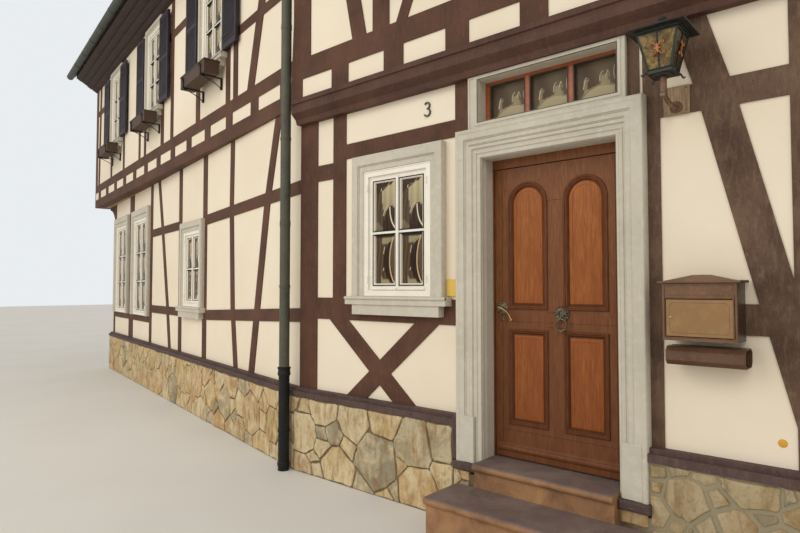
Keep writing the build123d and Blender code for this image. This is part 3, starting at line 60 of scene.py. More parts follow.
class Look:
    """Node material built on object coordinates in metres."""

    def __init__(self, name, color, rough=0.7, **sockets):
        self.mat = bpy.data.materials.new(name)
        self.mat.use_nodes = True
        self.tree = self.mat.node_tree
        self.shader = self.tree.nodes["Principled BSDF"]
        self.shader.inputs["Base Color"].default_value = lin(color)
        self.shader.inputs["Roughness"].default_value = rough
        for key, value in sockets.items():
            self.shader.inputs[key.replace("_", " ")].default_value = value
        self.where = self.add("ShaderNodeTexCoord").outputs["Object"]
        self.height = None

    def add(self, kind, **settings):
        node = self.tree.nodes.new(kind)
        for key, value in settings.items():
            setattr(node, key, value)
        return node

    def put(self, socket, value):
        if isinstance(value, bpy.types.NodeSocket):
            self.tree.links.new(value, socket)
        elif isinstance(value, str):
            socket.default_value = lin(value)
        else:
            socket.default_value = value

    def scaled(self, stretch):
        node = self.add("ShaderNodeMapping")
        self.put(node.inputs["Vector"], self.where)
        node.inputs["Scale"].default_value = stretch
        return node.outputs[0]

    def noise(self, scale, detail=4, rough=0.55, stretch=None, twist=0.0):
        node = self.add("ShaderNodeTexNoise")
        self.put(node.inputs["Vector"], self.scaled(stretch) if stretch else self.where)
        for key, value in (("Scale", scale), ("Detail", detail), ("Roughness", rough), ("Distortion", twist)):
            node.inputs[key].default_value = value
        return node.outputs["Fac"]

    def tint(self, name):
        return self.add("ShaderNodeAttribute", attribute_name=name).outputs["Fac"]

    def part_of(self, axis="Z", source="Position"):
        """Where a point lies along an axis, or how far its face looks that way."""
        node = self.add("ShaderNodeSeparateXYZ")
        self.put(node.inputs[0], self.add("ShaderNodeNewGeometry").outputs[source])
        return node.outputs[axis]

    @property
    def now(self):
        """The colour that reaches the shader so far."""
        return self.shader.inputs["Base Color"].links[0].from_socket

    def painted_shade_side(self, axis, low, high, share, color):
        """Painted shade: paint the given colour over the present one where faces look along an axis, standing
        in for less light on that side.
        """
        looking = self.span(self.part_of(axis, "Normal"), low, high, 0.0, share)
        return self.paint(self.mix(looking, self.now, color))

    def span(self, value, low, high, to_low=0.0, to_high=1.0):
        """Value stretched from one range to another, and held inside it."""
        node = self.add("ShaderNodeMapRange")
        for key, number in (("Value", value), ("From Min", low), ("From Max", high), ("To Min", to_low),
                            ("To Max", to_high)):
            self.put(node.inputs[key], number)
        return node.outputs[0]

    def ramp(self, value, *stops):
        node = self.add("ShaderNodeValToRGB")
        ramp = node.color_ramp
        while len(ramp.elements) < len(stops):
            ramp.elements.new(0.5)
        for element, (at, code) in zip(ramp.elements, stops):
            element.position, element.color = at, lin(code)
        self.put(node.inputs["Fac"], value)
        return node.outputs["Color"]

    def mix(self, share, a, b, blend="MIX"):
        node = self.add("ShaderNodeMix", data_type="RGBA", blend_type=blend)
        self.put(node.inputs[0], share)
        self.put(node.inputs[6], a)
        self.put(node.inputs[7], b)
        return node.outputs[2]

    def paint(self, value):
        self.put(self.shader.inputs["Base Color"], value)
        return self

    def polish(self, value, low, high):
        self.put(self.shader.inputs["Roughness"], self.span(value, 0.25, 0.75, low, high))
        return self

    def bump(self, value, depth, strength=0.6):
        """Relief of a depth in metres, on top of any given before."""
        node = self.add("ShaderNodeBump")
        node.inputs["Strength"].default_value = strength
        node.inputs["Distance"].default_value = depth
        self.put(node.inputs["Height"], value)
        if self.height:
            self.put(node.inputs["Normal"], self.height)
        self.height = node.outputs[0]
        self.put(self.shader.inputs["Normal"], self.height)
        return self


# Materials. Scales are per metre, depths of relief in metres
LOOKS = {}


def look(name, color, rough=0.7, **sockets):
    LOOKS[name] = Look(name, color, rough, **sockets)
    return LOOKS[name]


def mottled(name, base, dark, light, scale, rough, relief=0.0, **sockets):
    """Painted or stone surface with broad clouds, fine flecks and a slight relief."""
    it = look(name, base, rough, **sockets)
    broad, fine = it.noise(scale, 5, 0.6), it.noise(scale * 9, 3, 0.6)
    color = it.mix(it.span(broad, 0.35, 0.65), dark, base)
    color = it.mix(it.span(fine, 0.48, 0.72, 0.0, 0.55), color, light)
    it.paint(color).polish(fine, rough - 0.08, min(1.0, rough + 0.12))
    if relief:
        it.bump(broad, relief * 2, 0.5).bump(fine, relief, 0.6)
    return it


def wood(name, base, dark, light, grain, rough, relief, **sockets):
    """Wood with its grain along the short side of the stretch."""
    it = look(name, base, rough, **sockets)
    fibre = it.noise(9, 6, 0.62, stretch=grain, twist=0.25)
    wide = it.noise(2.2, 3, 0.5, stretch=grain)
    color = it.ramp(fibre, (0.3, dark), (0.5, base), (0.72, light))
    color = it.mix(it.span(wide, 0.4, 0.65, 0.0, 0.45), color, dark)
    it.paint(color).polish(fibre, rough - 0.06, rough + 0.12)
    it.bump(fibre, relief, 0.5)
    return it


ALONG_Z, ALONG_X = (9, 9, 1), (1, 9, 9)


def timber(name, base, dark, light, speck, relief):
    """Old painted timber: broad patches, worn streaks, bright specks and an uneven face."""
    it = look(name, base, 0.7, Specular_IOR_Level=0.28)
    broad, streaks = it.noise(2.6, 5, 0.62), it.noise(15, 6, 0.66, stretch=(2.4, 2.4, 0.6), twist=0.5)
    color = it.mix(it.span(broad, 0.36, 0.64), dark, base)
    color = it.mix(it.span(streaks, 0.48, 0.74, 0.0, 0.55), color, light)
    color = it.mix(it.span(it.noise(48, 4, 0.75, stretch=(2, 2, 0.5)), 0.5, 0.72, 0.0, 0.6), color, dark)
    color = it.mix(it.span(it.noise(70, 3, 0.7), 0.64, 0.74, 0.0, 0.7), color, speck)
    it.paint(color).polish(streaks, 0.56, 0.82)
    return it.bump(streaks, relief, 0.7).bump(it.noise(6, 4, 0.6), relief * 2.5, 0.5)


timber("oak_paint", "62412f", "4c3125", "765340", "937058", 0.0025)
timber("rough_oak", "735a47", "4e382b", "8c7460", "b29a83", 0.008)
timber("ledge_paint", "5e4a45", "493735", "78645e", "97847a", 0.0035)
timber("beam_paint", "5e4035", "482f27", "735245", "8e6e5e", 0.0028)
plaster = look("lime_plaster", "f3e4cc", 0.9, Specular_IOR_Level=0.2)
clouds = plaster.noise(0.8, 4, 0.55)
trowel = plaster.noise(14, 5, 0.6)
plaster.paint(plaster.mix(plaster.span(clouds, 0.35, 0.7), "eee0c8", "f5e9d4"))
plaster.bump(plaster.noise(3.5, 3, 0.5), 0.004, 0.35).bump(trowel, 0.0012, 0.45)
plaster.bump(plaster.noise(160, 2, 0.5), 0.0004, 0.3)

stone = look("rubble", "b39a74", 0.86, Specular_IOR_Level=0.25)
tone = stone.tint("tone")
veins = stone.noise(4.5, 7, 0.66, twist=0.7)
grit = stone.noise(38, 5, 0.72)
layers = stone.noise(6, 6, 0.62, stretch=(2.6, 2.6, 0.9), twist=0.6)
base = stone.ramp(tone, (0.0, "948c76"), (0.18, "b3a17c"), (0.36, "c6a870"), (0.5, "cbb489"),
                  (0.64, "bb8f57"), (0.78, "b3a383"), (0.9, "c9b68f"), (0.96, "8f513c"), (1.0, "7f4a3a"))
base = stone.mix(stone.span(veins, 0.42, 0.62, 0.0, 0.75), base, "decda8")
base = stone.mix(stone.span(layers, 0.48, 0.68, 0.0, 0.75), base, "93683a")
base = stone.mix(stone.span(grit, 0.55, 0.73, 0.0, 0.5), base, "5a4630")
# Painted shade: the stones right of the door are darkened, standing in for light that falls off towards the
# right
base = stone.mix(stone.span(stone.part_of("X"), *RIGHT_OF_DOOR, 0.0, 0.38), base, "6a5f4c")
stone.paint(base).polish(veins, 0.8, 0.95)
stone.bump(veins, 0.02, 0.8).bump(layers, 0.012, 0.7).bump(grit, 0.005, 0.8)
lime = mottled("mortar", "7d6a4a", "5f4f37", "a08c66", 9, 0.92, 0.004)
lime.paint(lime.mix(lime.span(lime.part_of("X"), *RIGHT_OF_DOOR, 0.0, 0.75), lime.now, "a59b80"))

facing = mottled("dressed_stone", "cdc6b6", "c3bcab", "d8d2c4", 2.2, 0.74, 0.0003, Specular_IOR_Level=0.3)
facing.bump(facing.noise(240, 2, 0.5), 0.0002, 0.35)
mottled("base_stone", "574643", "43332f", "726058", 7, 0.78, 0.002, Specular_IOR_Level=0.3)
tread = look("sandstone", "94705c", 0.82, Specular_IOR_Level=0.3)
patches, grains = tread.noise(3.2, 6, 0.65, twist=0.6), tread.noise(60, 4, 0.7)
riser = tread.ramp(patches, (0.32, "70503a"), (0.5, "97704f"), (0.7, "b3885f"))
worn = tread.ramp(patches, (0.3, "5f4f4a"), (0.52, "776660"), (0.72, "8a786d"))
sides = tread.mix(tread.span(tread.part_of("Z", "Normal"), 0.35, 0.9), riser, worn)
tread.paint(tread.mix(tread.span(grains, 0.56, 0.74, 0.0, 0.4), sides, "a18a7c")).polish(patches, 0.72, 0.9)
tread.bump(patches, 0.005, 0.6).bump(grains, 0.0016, 0.6)
mottled("white_paint", "f6f0e2", "efe8d9", "fbf7ec", 4, 0.4, 0.0, Specular_IOR_Level=0.35)
slate = look("slate", "4c5157", 0.6)
slate.paint(slate.ramp(slate.tint("tone"), (0.0, "434a50"), (0.5, "4b5259"), (1.0, "565d64")))
slate.bump(slate.noise(26, 5, 0.6), 0.002, 0.5)
mottled("roof_deck", "3a3c40", "303236", "45474b", 4, 0.8, 0.001)
mottled("zinc_paint", "565445", "46463b", "676350", 5, 0.5, 0.0003, Metallic=0.1)
mottled("gutter_paint", "454a41", "383d36", "565a4e", 5, 0.5, 0.0003, Metallic=0.1)
wood("eaves_wood", "402f29", "2c201c", "544039", ALONG_X, 0.62, 0.001, Specular_IOR_Level=0.25)
mottled("cast_iron", "181818", "111111", "242425", 9, 0.5, 0.0006, Specular_IOR_Level=0.3)
mottled("forged_iron", "18181a", "101012", "232326", 12, 0.45, 0.0005, Metallic=0.4)
mottled("louvre_paint", "37303a", "281e23", "413239", 6, 0.5, 0.0003, Specular_IOR_Level=0.3)
mottled("box_plastic", "4e3526", "443023", "583f30", 5, 0.55, 0.0)
wood("floor_boards", "a98c66", "8d7250", "bda27c", ALONG_X, 0.6, 0.0005)


def joinery(name, base, dark, light, low_shade):
    """Varnished wood that darkens towards the foot of the door."""
    it = wood(name, base, dark, light, ALONG_Z, 0.4, 0.0005, Specular_IOR_Level=0.16, Coat_Weight=0.03)
    return it.paint(it.mix(it.span(it.part_of(), 0.7, 2.5, 0.42, 0.0), it.now, low_shade))


joinery("door_oak", "7f5030", "6b4026", "90603a", "5a3220")
joinery("panel_oak", "a05e2f", "8a4c24", "b0703c", "6a3418")
joinery("bead_oak", "6d4026", "57301b", "7f4e30", "4a281a")
wood("transom_oak", "a65327", "843e1c", "b96a38", ALONG_X, 0.42, 0.0006, Coat_Weight=0.15)
mottled("brass", "b0935c", "8a7044", "cdb176", 30, 0.34, 0.0002, Metallic=0.9)
mottled("dark_bronze", "7a7060", "544c40", "a09581", 25, 0.42, 0.0004, Metallic=0.8)
mottled("lamp_paint", "2c3029", "1e221d", "3d4238", 14, 0.42, 0.0004, Metallic=0.2)
mottled("lamp_stem", "83604c", "523a2e", "b58c70", 26, 0.45, 0.0008, Metallic=0.35)
mottled("copper", "cf8a5e", "a9653f", "e6a878", 30, 0.36, 0.0003, Metallic=0.55)
# Letter box and newspaper tube: painted shade darkens the faces that look along +X
mottled("bronze_paint", "7c5b41", "6b4d38", "8f6c4f", 5, 0.36, 0.0,
        Metallic=0.25).painted_shade_side("X", 0.5, 0.9, 0.8, "33251b")
mottled("tube_paint", "684a36", "5a3f2f", "78583f", 5, 0.36, 0.0,
        Metallic=0.25).painted_shade_side("X", 0.5, 0.9, 0.85, "2a1f18")
mottled("gold_paint", "9c774d", "93704a", "a8835a", 2, 0.34, 0.0, Metallic=0.3)
wood("weathered_plate", "a5896a", "6f583f", "cdb493", ALONG_Z, 0.7, 0.001)
look("yellow_plate", "e2bd55", 0.45)
look("orange_disc", "dca32a", 0.45)
mottled("number_grey", "5a564e", "3a3833", "86817a", 34, 0.5, 0.0002)

# Painted reflection: each pane's tone picks a colour from dark brown to cream, standing in for the street
# mirrored in the old glass
glass = look("window_glass", "5c4f3c", 0.16, Alpha=0.97, IOR=1.22)
glass.paint(glass.ramp(glass.tint("tone"), (0.0, "1c130c"), (0.22, "433021"), (0.45, "6c5e48"),
                       (0.62, "8d8162"), (0.8, "c2b48f"), (0.92, "d6b48c"), (1.0, "f3ead6")))
glass.bump(glass.noise(14, 3, 0.5, stretch=(3, 3, 0.8)), 0.004, 0.5)
amber = look("amber_glass", "6f5c2e", 0.25, Alpha=0.9, IOR=1.45)
ripple = amber.noise(30, 5, 0.62, twist=0.9)
amber.paint(amber.ramp(ripple, (0.34, "4a381c"), (0.52, "7d6534"), (0.72, "b09355")))
# Painted shade: the lantern panes that look along +X are darkened
amber.painted_shade_side("X", 0.5, 0.9, 0.75, "2b2013").bump(ripple, 0.004, 0.6)
mottled("glazing_putty_and_shade", "4a4236", "39332a", "5f5646", 12, 0.7, 0.0)
look("dark_inside", "14110e", 0.95)

CAD_LOOKS = {
    "mortar": "plinth_front plinth_back",
    "ledge_paint": "sole_plates",
    "beam_paint": "moulded_beam",
    "rough_oak": "frame_right_bay",
    "oak_paint": "frame_ground_left frame_window_bay frame_upper_left frame_upper_right frame_ground_back "
                 "frame_upper_back frame_gable gable_brackets",
    "lime_plaster": "infill_ground infill_upper party_wall",
    "floor_boards": "ground_floor upper_floor attic_floor",
    "roof_deck": "roof_front roof_back",
    "zinc_paint": "ridge_caps downpipe",
    "gutter_paint": "gutters gutter_hooks",
    "eaves_wood": "eaves_boards",
    "cast_iron": "standpipe",
    "dressed_stone": "window_surrounds door_jambs door_lintel transom_surround",
    "base_stone": "jamb_bases",
    "sandstone": "threshold entrance_step",
    "white_paint": "window_frames",
    "transom_oak": "transom_frame",
    "louvre_paint": "shutters",
    "box_plastic": "flower_boxes",
    "forged_iron": "flower_box_irons",
    "door_oak": "door_frame door_leaf",
    "panel_oak": "door_panels",
    "dark_bronze": "knocker_ring door_fittings lantern_bracket",
    "brass": "door_handle",
    "lamp_paint": "lantern_frame",
    "amber_glass": "lantern_glass",
    "bronze_paint": "mailbox_body mailbox_lid",
    "gold_paint": "mailbox_door",
    "tube_paint": "newspaper_tube",
    "window_glass": "window_glass",
}
for name, nodes in CAD_LOOKS.items():
    for node in nodes.split():
        mesh = NODES[node].data
        mesh.materials.clear()
        mesh.materials.append(LOOKS[name].mat)


# Wall faces, as in the plan: angle of the outward normal in degrees and distance from the origin
TURN_GROUND, TURN_UPPER, TURN_ROOF = 12.65, 10.99, 10.99
RIGHT_LENGTH, LEFT_REACH, GABLE_JETTY, RIGHT_JETTY, DEPTH = 6.1, 8.995, 0.774, 0.1, 6.5
EAVE_FOOT, EAVE_RIGHT, EAVE_LEFT, EAVE_BACK, VERGE, PITCH = 6.6, 0.45, 0.43, 0.35, 0.3, radians(48)
HALF_SPAN = (DEPTH + EAVE_RIGHT + EAVE_BACK) / 2
ROOF_THICK = 0.1 / cos(PITCH)
BACK_LEFT = 2 * HALF_SPAN - EAVE_LEFT - EAVE_BACK
FRONT, RIGHT, BACK_R, BACK_L, GABLE, LEFT, STEP = range(7)
GROUND = [(-90, 0), (0, RIGHT_LENGTH), (90, DEPTH), (90 - TURN_ROOF, BACK_LEFT),
          (180 - TURN_ROOF, LEFT_REACH), (-90 - TURN_GROUND, 0)]
UPPER_PLAN = [(-90, RIGHT_JETTY), (0, RIGHT_LENGTH), (90, DEPTH), (90 - TURN_ROOF, BACK_LEFT),
              (180 - TURN_ROOF, LEFT_REACH + GABLE_JETTY), (-90 - TURN_UPPER, 0), (180, 0)]


def meet(line, other):
    """Point of the plan where two lines cross."""
    (a, p), (b, q) = (radians(line[0]), line[1]), (radians(other[0]), other[1])
    turn = cos(a) * sin(b) - sin(a) * cos(b)
    return Vector(((p * sin(b) - q * sin(a)) / turn, (q * cos(a) - p * cos(b)) / turn, 0))


def outward(line):
    """Unit vector of the side that a line of the plan faces."""
    angle = radians(line[0])
    return Vector((cos(angle), sin(angle), 0))


def outline(plan, grow=0.0):
    """Corners of a plan, moved out by a distance."""
    lines = [(angle, reach + grow) for angle, reach in plan]
    return [meet(lines[i - 1], lines[i]) for i in range(len(lines))]


class Face:
    """A flat front: places on it are a run along it, a height and how far out."""

    def __init__(self, start, along, out):
        self.start, self.along, self.out = Vector(start), Vector(along).normalized(), Vector(out).normalized()

    def at(self, s, z, d=0.0):
        return self.start + self.along * s + UP * z + self.out * d


def wall_face(plan, edge, start=None, end=None):
    """Face of one wall, from one corner of the plan to another."""
    corners = outline(plan)
    a = corners[edge if start is None else start]
    b = corners[(edge + 1) % len(plan) if end is None else end]
    it = Face(a, b - a, outward(plan[edge]))
    it.length = (b - a).length
    it.flip = it.along.cross(it.out).z > 0
    return it


front = wall_face(GROUND, FRONT)
left = wall_face(GROUND, LEFT, FRONT, LEFT)
back_right = wall_face(GROUND, BACK_R)
back_left = wall_face(GROUND, BACK_L)
gable = wall_face(GROUND, GABLE, LEFT, GABLE)
upper_front = wall_face(UPPER_PLAN, FRONT)
upper_left = wall_face(UPPER_PLAN, LEFT, STEP, LEFT)
upper_back_left = wall_face(UPPER_PLAN, BACK_L)
upper_gable = wall_face(UPPER_PLAN, GABLE, LEFT, GABLE)
street_face = Face((0, 0, 0), (1, 0, 0), TO_STREET)


# Drawn outlines: points are a run along a face and a height
def across(a, b, side=1):
    """Unit normal of a drawn line, to its left where side is 1."""
    x, y = b[0] - a[0], b[1] - a[1]
    size = max(1e-9, sqrt(x * x + y * y))
    return -y / size * side, x / size * side


def between(p, q, share):
    return p[0] + (q[0] - p[0]) * share, p[1] + (q[1] - p[1]) * share


def twice_area(points):
    return sum(points[i - 1][0] * p[1] - p[0] * points[i - 1][1] for i, p in enumerate(points))


def rect_path(s0, s1, z0, z1):
    """Corners in the order that turns the inside to the left."""
    return [(s0, z0), (s1, z0), (s1, z1), (s0, z1)]


def arc(cx, cz, radius, start, end, count):
    """Points of an arc, angles in degrees from the run."""
    turns = [radians(start + (end - start) * k / count) for k in range(count + 1)]
    return [(cx + radius * cos(t), cz + radius * sin(t)) for t in turns]


def inset(points, by):
    """Closed outline moved inward by a distance."""
    side = 1 if twice_area(points) > 0 else -1
    moved = []
    for i, p in enumerate(points):
        n1, n2 = across(points[i - 1], p, side), across(p, points[(i + 1) % len(points)], side)
        x, y = n1[0] + n2[0], n1[1] + n2[1]
        scale = by / max(0.35, (x * x + y * y) / 2)
        moved.append((p[0] + x * scale, p[1] + y * scale))
    return moved


def round_ring(centre, one, two, r, sides, flat=1.0):
    """Points of a circle, thinner across where flat is under one."""
    turns = [2 * pi * k / sides for k in range(sides)]
    return [centre + one * (cos(t) * r) + two * (sin(t) * r * flat) for t in turns]


class Soup:
    """Vertices and faces of one piece."""

    def __init__(self):
        self.verts, self.faces, self.values, self.value = [], [], [], 0.0

    def ring(self, points):
        start = len(self.verts)
        self.verts += points
        self.values += [self.value] * len(points)
        return list(range(start, start + len(points)))

    def bridge(self, a, b, closed=True):
        count = len(a)
        for i in range(count if closed else count - 1):
            j = (i + 1) % count
            self.faces.append((a[i], a[j], b[j], b[i]))

    def stack(self, rings, caps=(True, True)):
        """Rings joined in turn; the ends are closed where asked."""
        made = [self.ring(points) for points in rings]
        for a, b in zip(made, made[1:]):
            self.bridge(a, b)
        if caps[0]:
            self.faces.append(tuple(reversed(made[0])))
        if caps[1]:
            self.faces.append(tuple(made[-1]))

    def plate(self, face, points, d0, d1, bevel=0.0, back=True):
        """Flat piece with a drawn outline between two depths, chamfered at its front edge."""
        rings = [[face.at(s, z, d0) for s, z in points]]
        if bevel:
            rings.append([face.at(s, z, d1 - bevel) for s, z in points])
            points = inset(points, bevel)
        rings.append([face.at(s, z, d1) for s, z in points])
        self.stack(rings, (back, True))

    def box(self, face, s0, s1, z0, z1, d0, d1, bevel=0.0, back=True):
        self.plate(face, rect_path(s0, s1, z0, z1), d0, d1, bevel, back)

    def tube(self, points, radius, sides=8, closed=False, flat=1.0):
        """Round bar along points, thinner across where flat is under one."""
        points = [Vector(p) for p in points]
        count = len(points)
        rings, normal = [], None
        for i, p in enumerate(points):
            before = points[i - 1] if closed or i else p
            after = points[(i + 1) % count] if closed or i < count - 1 else p
            way = (after - before).normalized()
            if normal is None:
                normal = way.orthogonal().normalized() if abs(way.z) > 0.9 else way.cross(UP).normalized()
            normal = (normal - way * normal.dot(way)).normalized()
            side = way.cross(normal)
            r = radius[i] if isinstance(radius, (list, tuple)) else radius
            rings.append(round_ring(p, normal, side, r, sides, flat))
        if not closed:
            self.stack(rings)
            return
        made = [self.ring(r) for r in rings]
        for a, b in zip(made, made[1:] + made[:1]):
            self.bridge(a, b)

    def lathe(self, centre, axis, profile, sides=20):
        """Turned piece: radius and reach along the axis."""
        centre, axis = Vector(centre), Vector(axis).normalized()
        one = axis.orthogonal().normalized()
        two = axis.cross(one)
        self.stack([round_ring(centre + axis * h, one, two, r, sides) for r, h in profile])

    def make(self, name, finish, body="house", slot=None, replaces=(), tone=None):
        mesh = bpy.data.meshes.new(name)
        mesh.from_pydata([tuple(v) for v in self.verts], [], self.faces)
        mesh.validate()
        if tone:
            layer = mesh.attributes.new(tone, "FLOAT", "POINT")
            layer.data.foreach_set("value", self.values)
        for polygon in mesh.polygons:
            polygon.use_smooth = True
        mesh.set_sharp_from_angle(angle=SMOOTH_ANGLE)
        mesh.materials.append(LOOKS[finish].mat)
        piece = place(name, mesh)
        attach(piece, body)
        if replaces:
            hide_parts(*replaces)
        return piece


# Rubble facing of the plinth: cells drawn by cutting a rectangle halfway between neighbouring seeds
PLINTH_TOP, PLINTH_PROUD, SMALLEST_STONE = 0.71, 0.06, 0.0009


def cut(points, at, normal):
    """Part of a convex outline on the near side of a line."""
    kept = []
    for i, p in enumerate(points):
        q = points[(i + 1) % len(points)]
        dp, dq = ((c[0] - at[0]) * normal[0] + (c[1] - at[1]) * normal[1] for c in (p, q))
        if dp <= 0:
            kept.append(p)
        if (dp < 0 < dq) or (dq < 0 < dp):
            kept.append(between(p, q, dp / (dp - dq)))
    return kept


def rounded(points, keep):
    """Outline with its corners cut."""
    soft = []
    for i, p in enumerate(points):
        q = points[(i + 1) % len(points)]
        soft += [between(p, q, keep), between(p, q, 1 - keep)]
    return soft


def broken(points, rng):
    """Outline with a bend in each long side."""
    split = []
    for i, p in enumerate(points):
        q = points[(i + 1) % len(points)]
        run = sqrt((q[0] - p[0]) ** 2 + (q[1] - p[1]) ** 2)
        split.append(p)
        if run > 0.05:
            share, bend = rng.uniform(0.25, 0.75), rng.uniform(-0.008, 0.002) - run * 0.02
            nx, nz = (q[1] - p[1]) / run, (p[0] - q[0]) / run
            x, z = between(p, q, share)
            split.append((x + nx * bend, z + nz * bend))
    return split


def seeds(rng, x0, x1, z0, z1, spacing):
    """Scattered points with a reach each: the big stones first, then smaller ones in the gaps."""
    placed = []
    for share, tries in ((0.68, 90), (0.48, 200), (0.32, 420), (0.2, 700)):
        for _ in range(int((x1 - x0) * (z1 - z0) * tries)):
            x, z, reach = rng.uniform(x0, x1), rng.uniform(z0, z1), spacing * share * rng.uniform(0.85, 1.15)
            if all((x - a) ** 2 + (z - b) ** 2 > (0.93 * (reach + r)) ** 2 for a, b, r in placed):
                placed.append((x, z, reach))
    return placed


def stones(soup, face, x0, x1, z0, z1, spacing, rng, joint=0.0035, tones=(0.0, 1.0)):
    """Split stones with broken edges and a slightly tilted, uneven front."""
    places = seeds(rng, x0, x1, z0, z1, spacing)
    for i, (x, z, reach) in enumerate(places):
        cell = rect_path(x0, x1, z0, z1)
        for j, (a, b, r) in enumerate(places):
            gap = (a - x) ** 2 + (b - z) ** 2
            if i != j and gap < (3.4 * spacing) ** 2:
                share = (gap + reach * reach - r * r) / (2 * gap)
                tip = 0.16 * sin(13.7 * (x + a) + 9.1 * (z + b))
                cell = cut(cell, between((x, z), (a, b), share),
                           (a - x - tip * (b - z), b - z + tip * (a - x)))
            if len(cell) < 3:
                break
        area = abs(twice_area(cell)) / 2 if len(cell) > 2 else 0
        if area < SMALLEST_STONE:
            continue
        size = sqrt(area)
        cell = rounded(broken(inset(cell, joint * rng.uniform(0.3, 2.2)), rng), 0.16)
        cx, cz = sum(p[0] for p in cell) / len(cell), sum(p[1] for p in cell) / len(cell)
        proud = rng.uniform(0.004, 0.014)
        lean_x, lean_z = rng.uniform(-0.03, 0.03), rng.uniform(-0.03, 0.03)
        soup.value = tones[0] + (tones[1] - tones[0]) * (rng.random() if size < 0.11 else rng.random() * 0.92)

        def shell(share, out):
            ring = []
            for k, (a, b) in enumerate(cell):
                wobble = 1 + (0.03 * sin(k * 2.3 + i) if share < 1 else 0)
                s, h = cx + (a - cx) * share * wobble, cz + (b - cz) * share * wobble
                s, h = min(max(s, x0), x1), min(max(h, z0), z1)
                d = out + ((s - cx) * lean_x + (h - cz) * lean_z if share < 1 else 0)
                ring.append(face.at(s, h, d))
            return ring

        edge = min(0.12, 0.008 / size)
        soup.stack([shell(1.0, PLINTH_PROUD - 0.012), shell(1.0, PLINTH_PROUD + proud * 0.6),
                    shell(1 - edge, PLINTH_PROUD + proud * 1.1),
                    shell(1 - 4 * edge, PLINTH_PROUD + proud * 1.2),
                    shell(0.4, PLINTH_PROUD + proud * rng.uniform(0.9, 1.5))], (False, True))


def grown(edge):
    """Ground face whose runs reach to the plinth's proud corners."""
    it = wall_face(GROUND, edge)
    outer, plain = outline(GROUND, PLINTH_PROUD), outline(GROUND)
    after = (edge + 1) % len(GROUND)
    it.low = (outer[edge] - plain[edge]).dot(it.along)
    it.high = it.length + (outer[after] - plain[after]).dot(it.along)
    return it


SEED, STONE_SIZE, STEP_LEFT, DOOR_STONE_LEFT, DOOR_STONE_RIGHT = 7, 0.29, 1.98, 1.885, 3.322
rng = random.Random(SEED)
street = Soup()
face = grown(FRONT)
stones(street, face, face.low, DOOR_STONE_LEFT, 0.0, PLINTH_TOP, STONE_SIZE, rng)
stones(street, face, DOOR_STONE_RIGHT, face.high, 0.0, PLINTH_TOP, 0.2, rng, 0.01, (0.0, 0.75))
stones(street, face, DOOR_STONE_LEFT + 0.005, STEP_LEFT + 0.06, 0.0, 0.4, 0.2, rng)
stones(street, face, 3.14, DOOR_STONE_RIGHT, 0.31, 0.4, 0.3, rng, 0.003, (0.5, 0.7))
street.make("rubble_front", "rubble", slot="rubble_stone", tone="tone")
for name, edges, size in (("left", (LEFT,), STONE_SIZE), ("back", (RIGHT, BACK_R, BACK_L, GABLE), 0.3)):
    soup = Soup()
    for edge in edges:
        face = grown(edge)
        stones(soup, face, face.low, face.high, 0.0, PLINTH_TOP, size, rng)
    soup.make("rubble_" + name, "rubble", slot="rubble_stone", tone="tone")


# Slates in lapped rows over both slopes
SLATE_GAUGE, SLATE_WIDTH, SLATE_THICK, SLATE_KICK, ROOF_LIFT = 0.2, 0.24, 0.006, 0.012, 0.002
rise = HALF_SPAN * tan(PITCH)
front_right_eave, front_left_eave = (-90, EAVE_RIGHT), (-90 - TURN_ROOF, EAVE_LEFT)
back_right_eave, back_left_eave = (90, DEPTH + EAVE_BACK), (90 - TURN_ROOF, 2 * HALF_SPAN - EAVE_LEFT)
verge_left, verge_right = (180 - TURN_ROOF, LEFT_REACH + GABLE_JETTY + VERGE), (0, RIGHT_LENGTH)
ridge_right, ridge_left = (90, HALF_SPAN - EAVE_RIGHT), (90 - TURN_ROOF, HALF_SPAN - EAVE_LEFT)
ridge_kink = meet(ridge_right, ridge_left)


def slates(soup, eave, verge, kink, ridge, rng):
    """One wing's slope, from the eave to the ridge."""
    top = EAVE_FOOT + rise + ROOF_THICK
    low = [meet(eave, verge) + UP * (EAVE_FOOT + ROOF_THICK), kink + UP * (EAVE_FOOT + ROOF_THICK)]
    high = [meet(ridge, verge) + UP * top, ridge_kink + UP * top]
    normal = (outward(eave) * sin(PITCH) + UP * cos(PITCH)).normalized()
    slope = HALF_SPAN / cos(PITCH)
    rows = round((slope - 0.09) / SLATE_GAUGE)
    for row in range(rows):
        t0, t1 = row / rows - 0.004, min(1.0, (row + 1.35) / rows)
        ends = [(low[i].lerp(high[i], t0), low[i].lerp(high[i], t1)) for i in (0, 1)]
        length = (ends[1][0] - ends[0][0]).length
        count = round(length / SLATE_WIDTH)
        shift = 0.5 if row % 2 else 0.0
        for k in range(count + (1 if shift else 0)):
            u0, u1 = max(0.0, (k - shift) / count), min(1.0, (k + 1 - shift) / count)
            gap = 0.0015 / length
            soup.value = rng.random()
            kick = SLATE_KICK * rng.uniform(0.85, 1.15)
            u0, u1 = u0 + gap, u1 - gap
            clip = (u1 - u0) * 0.14
            outline_uv = [(u0, 1.0), (u0, 0.16), (u0 + clip, 0.0), (u1 - clip, 0.0), (u1, 0.16), (u1, 1.0)]
            rings = []
            for thick in (0.0, SLATE_THICK):
                ring = []
                for u, v in outline_uv:
                    point = ends[0][0].lerp(ends[1][0], u).lerp(ends[0][1].lerp(ends[1][1], u), v)
                    ring.append(point + normal * (ROOF_LIFT + kick * (1 - v) + thick))
                rings.append(ring)
            soup.stack(rings, (False, True))


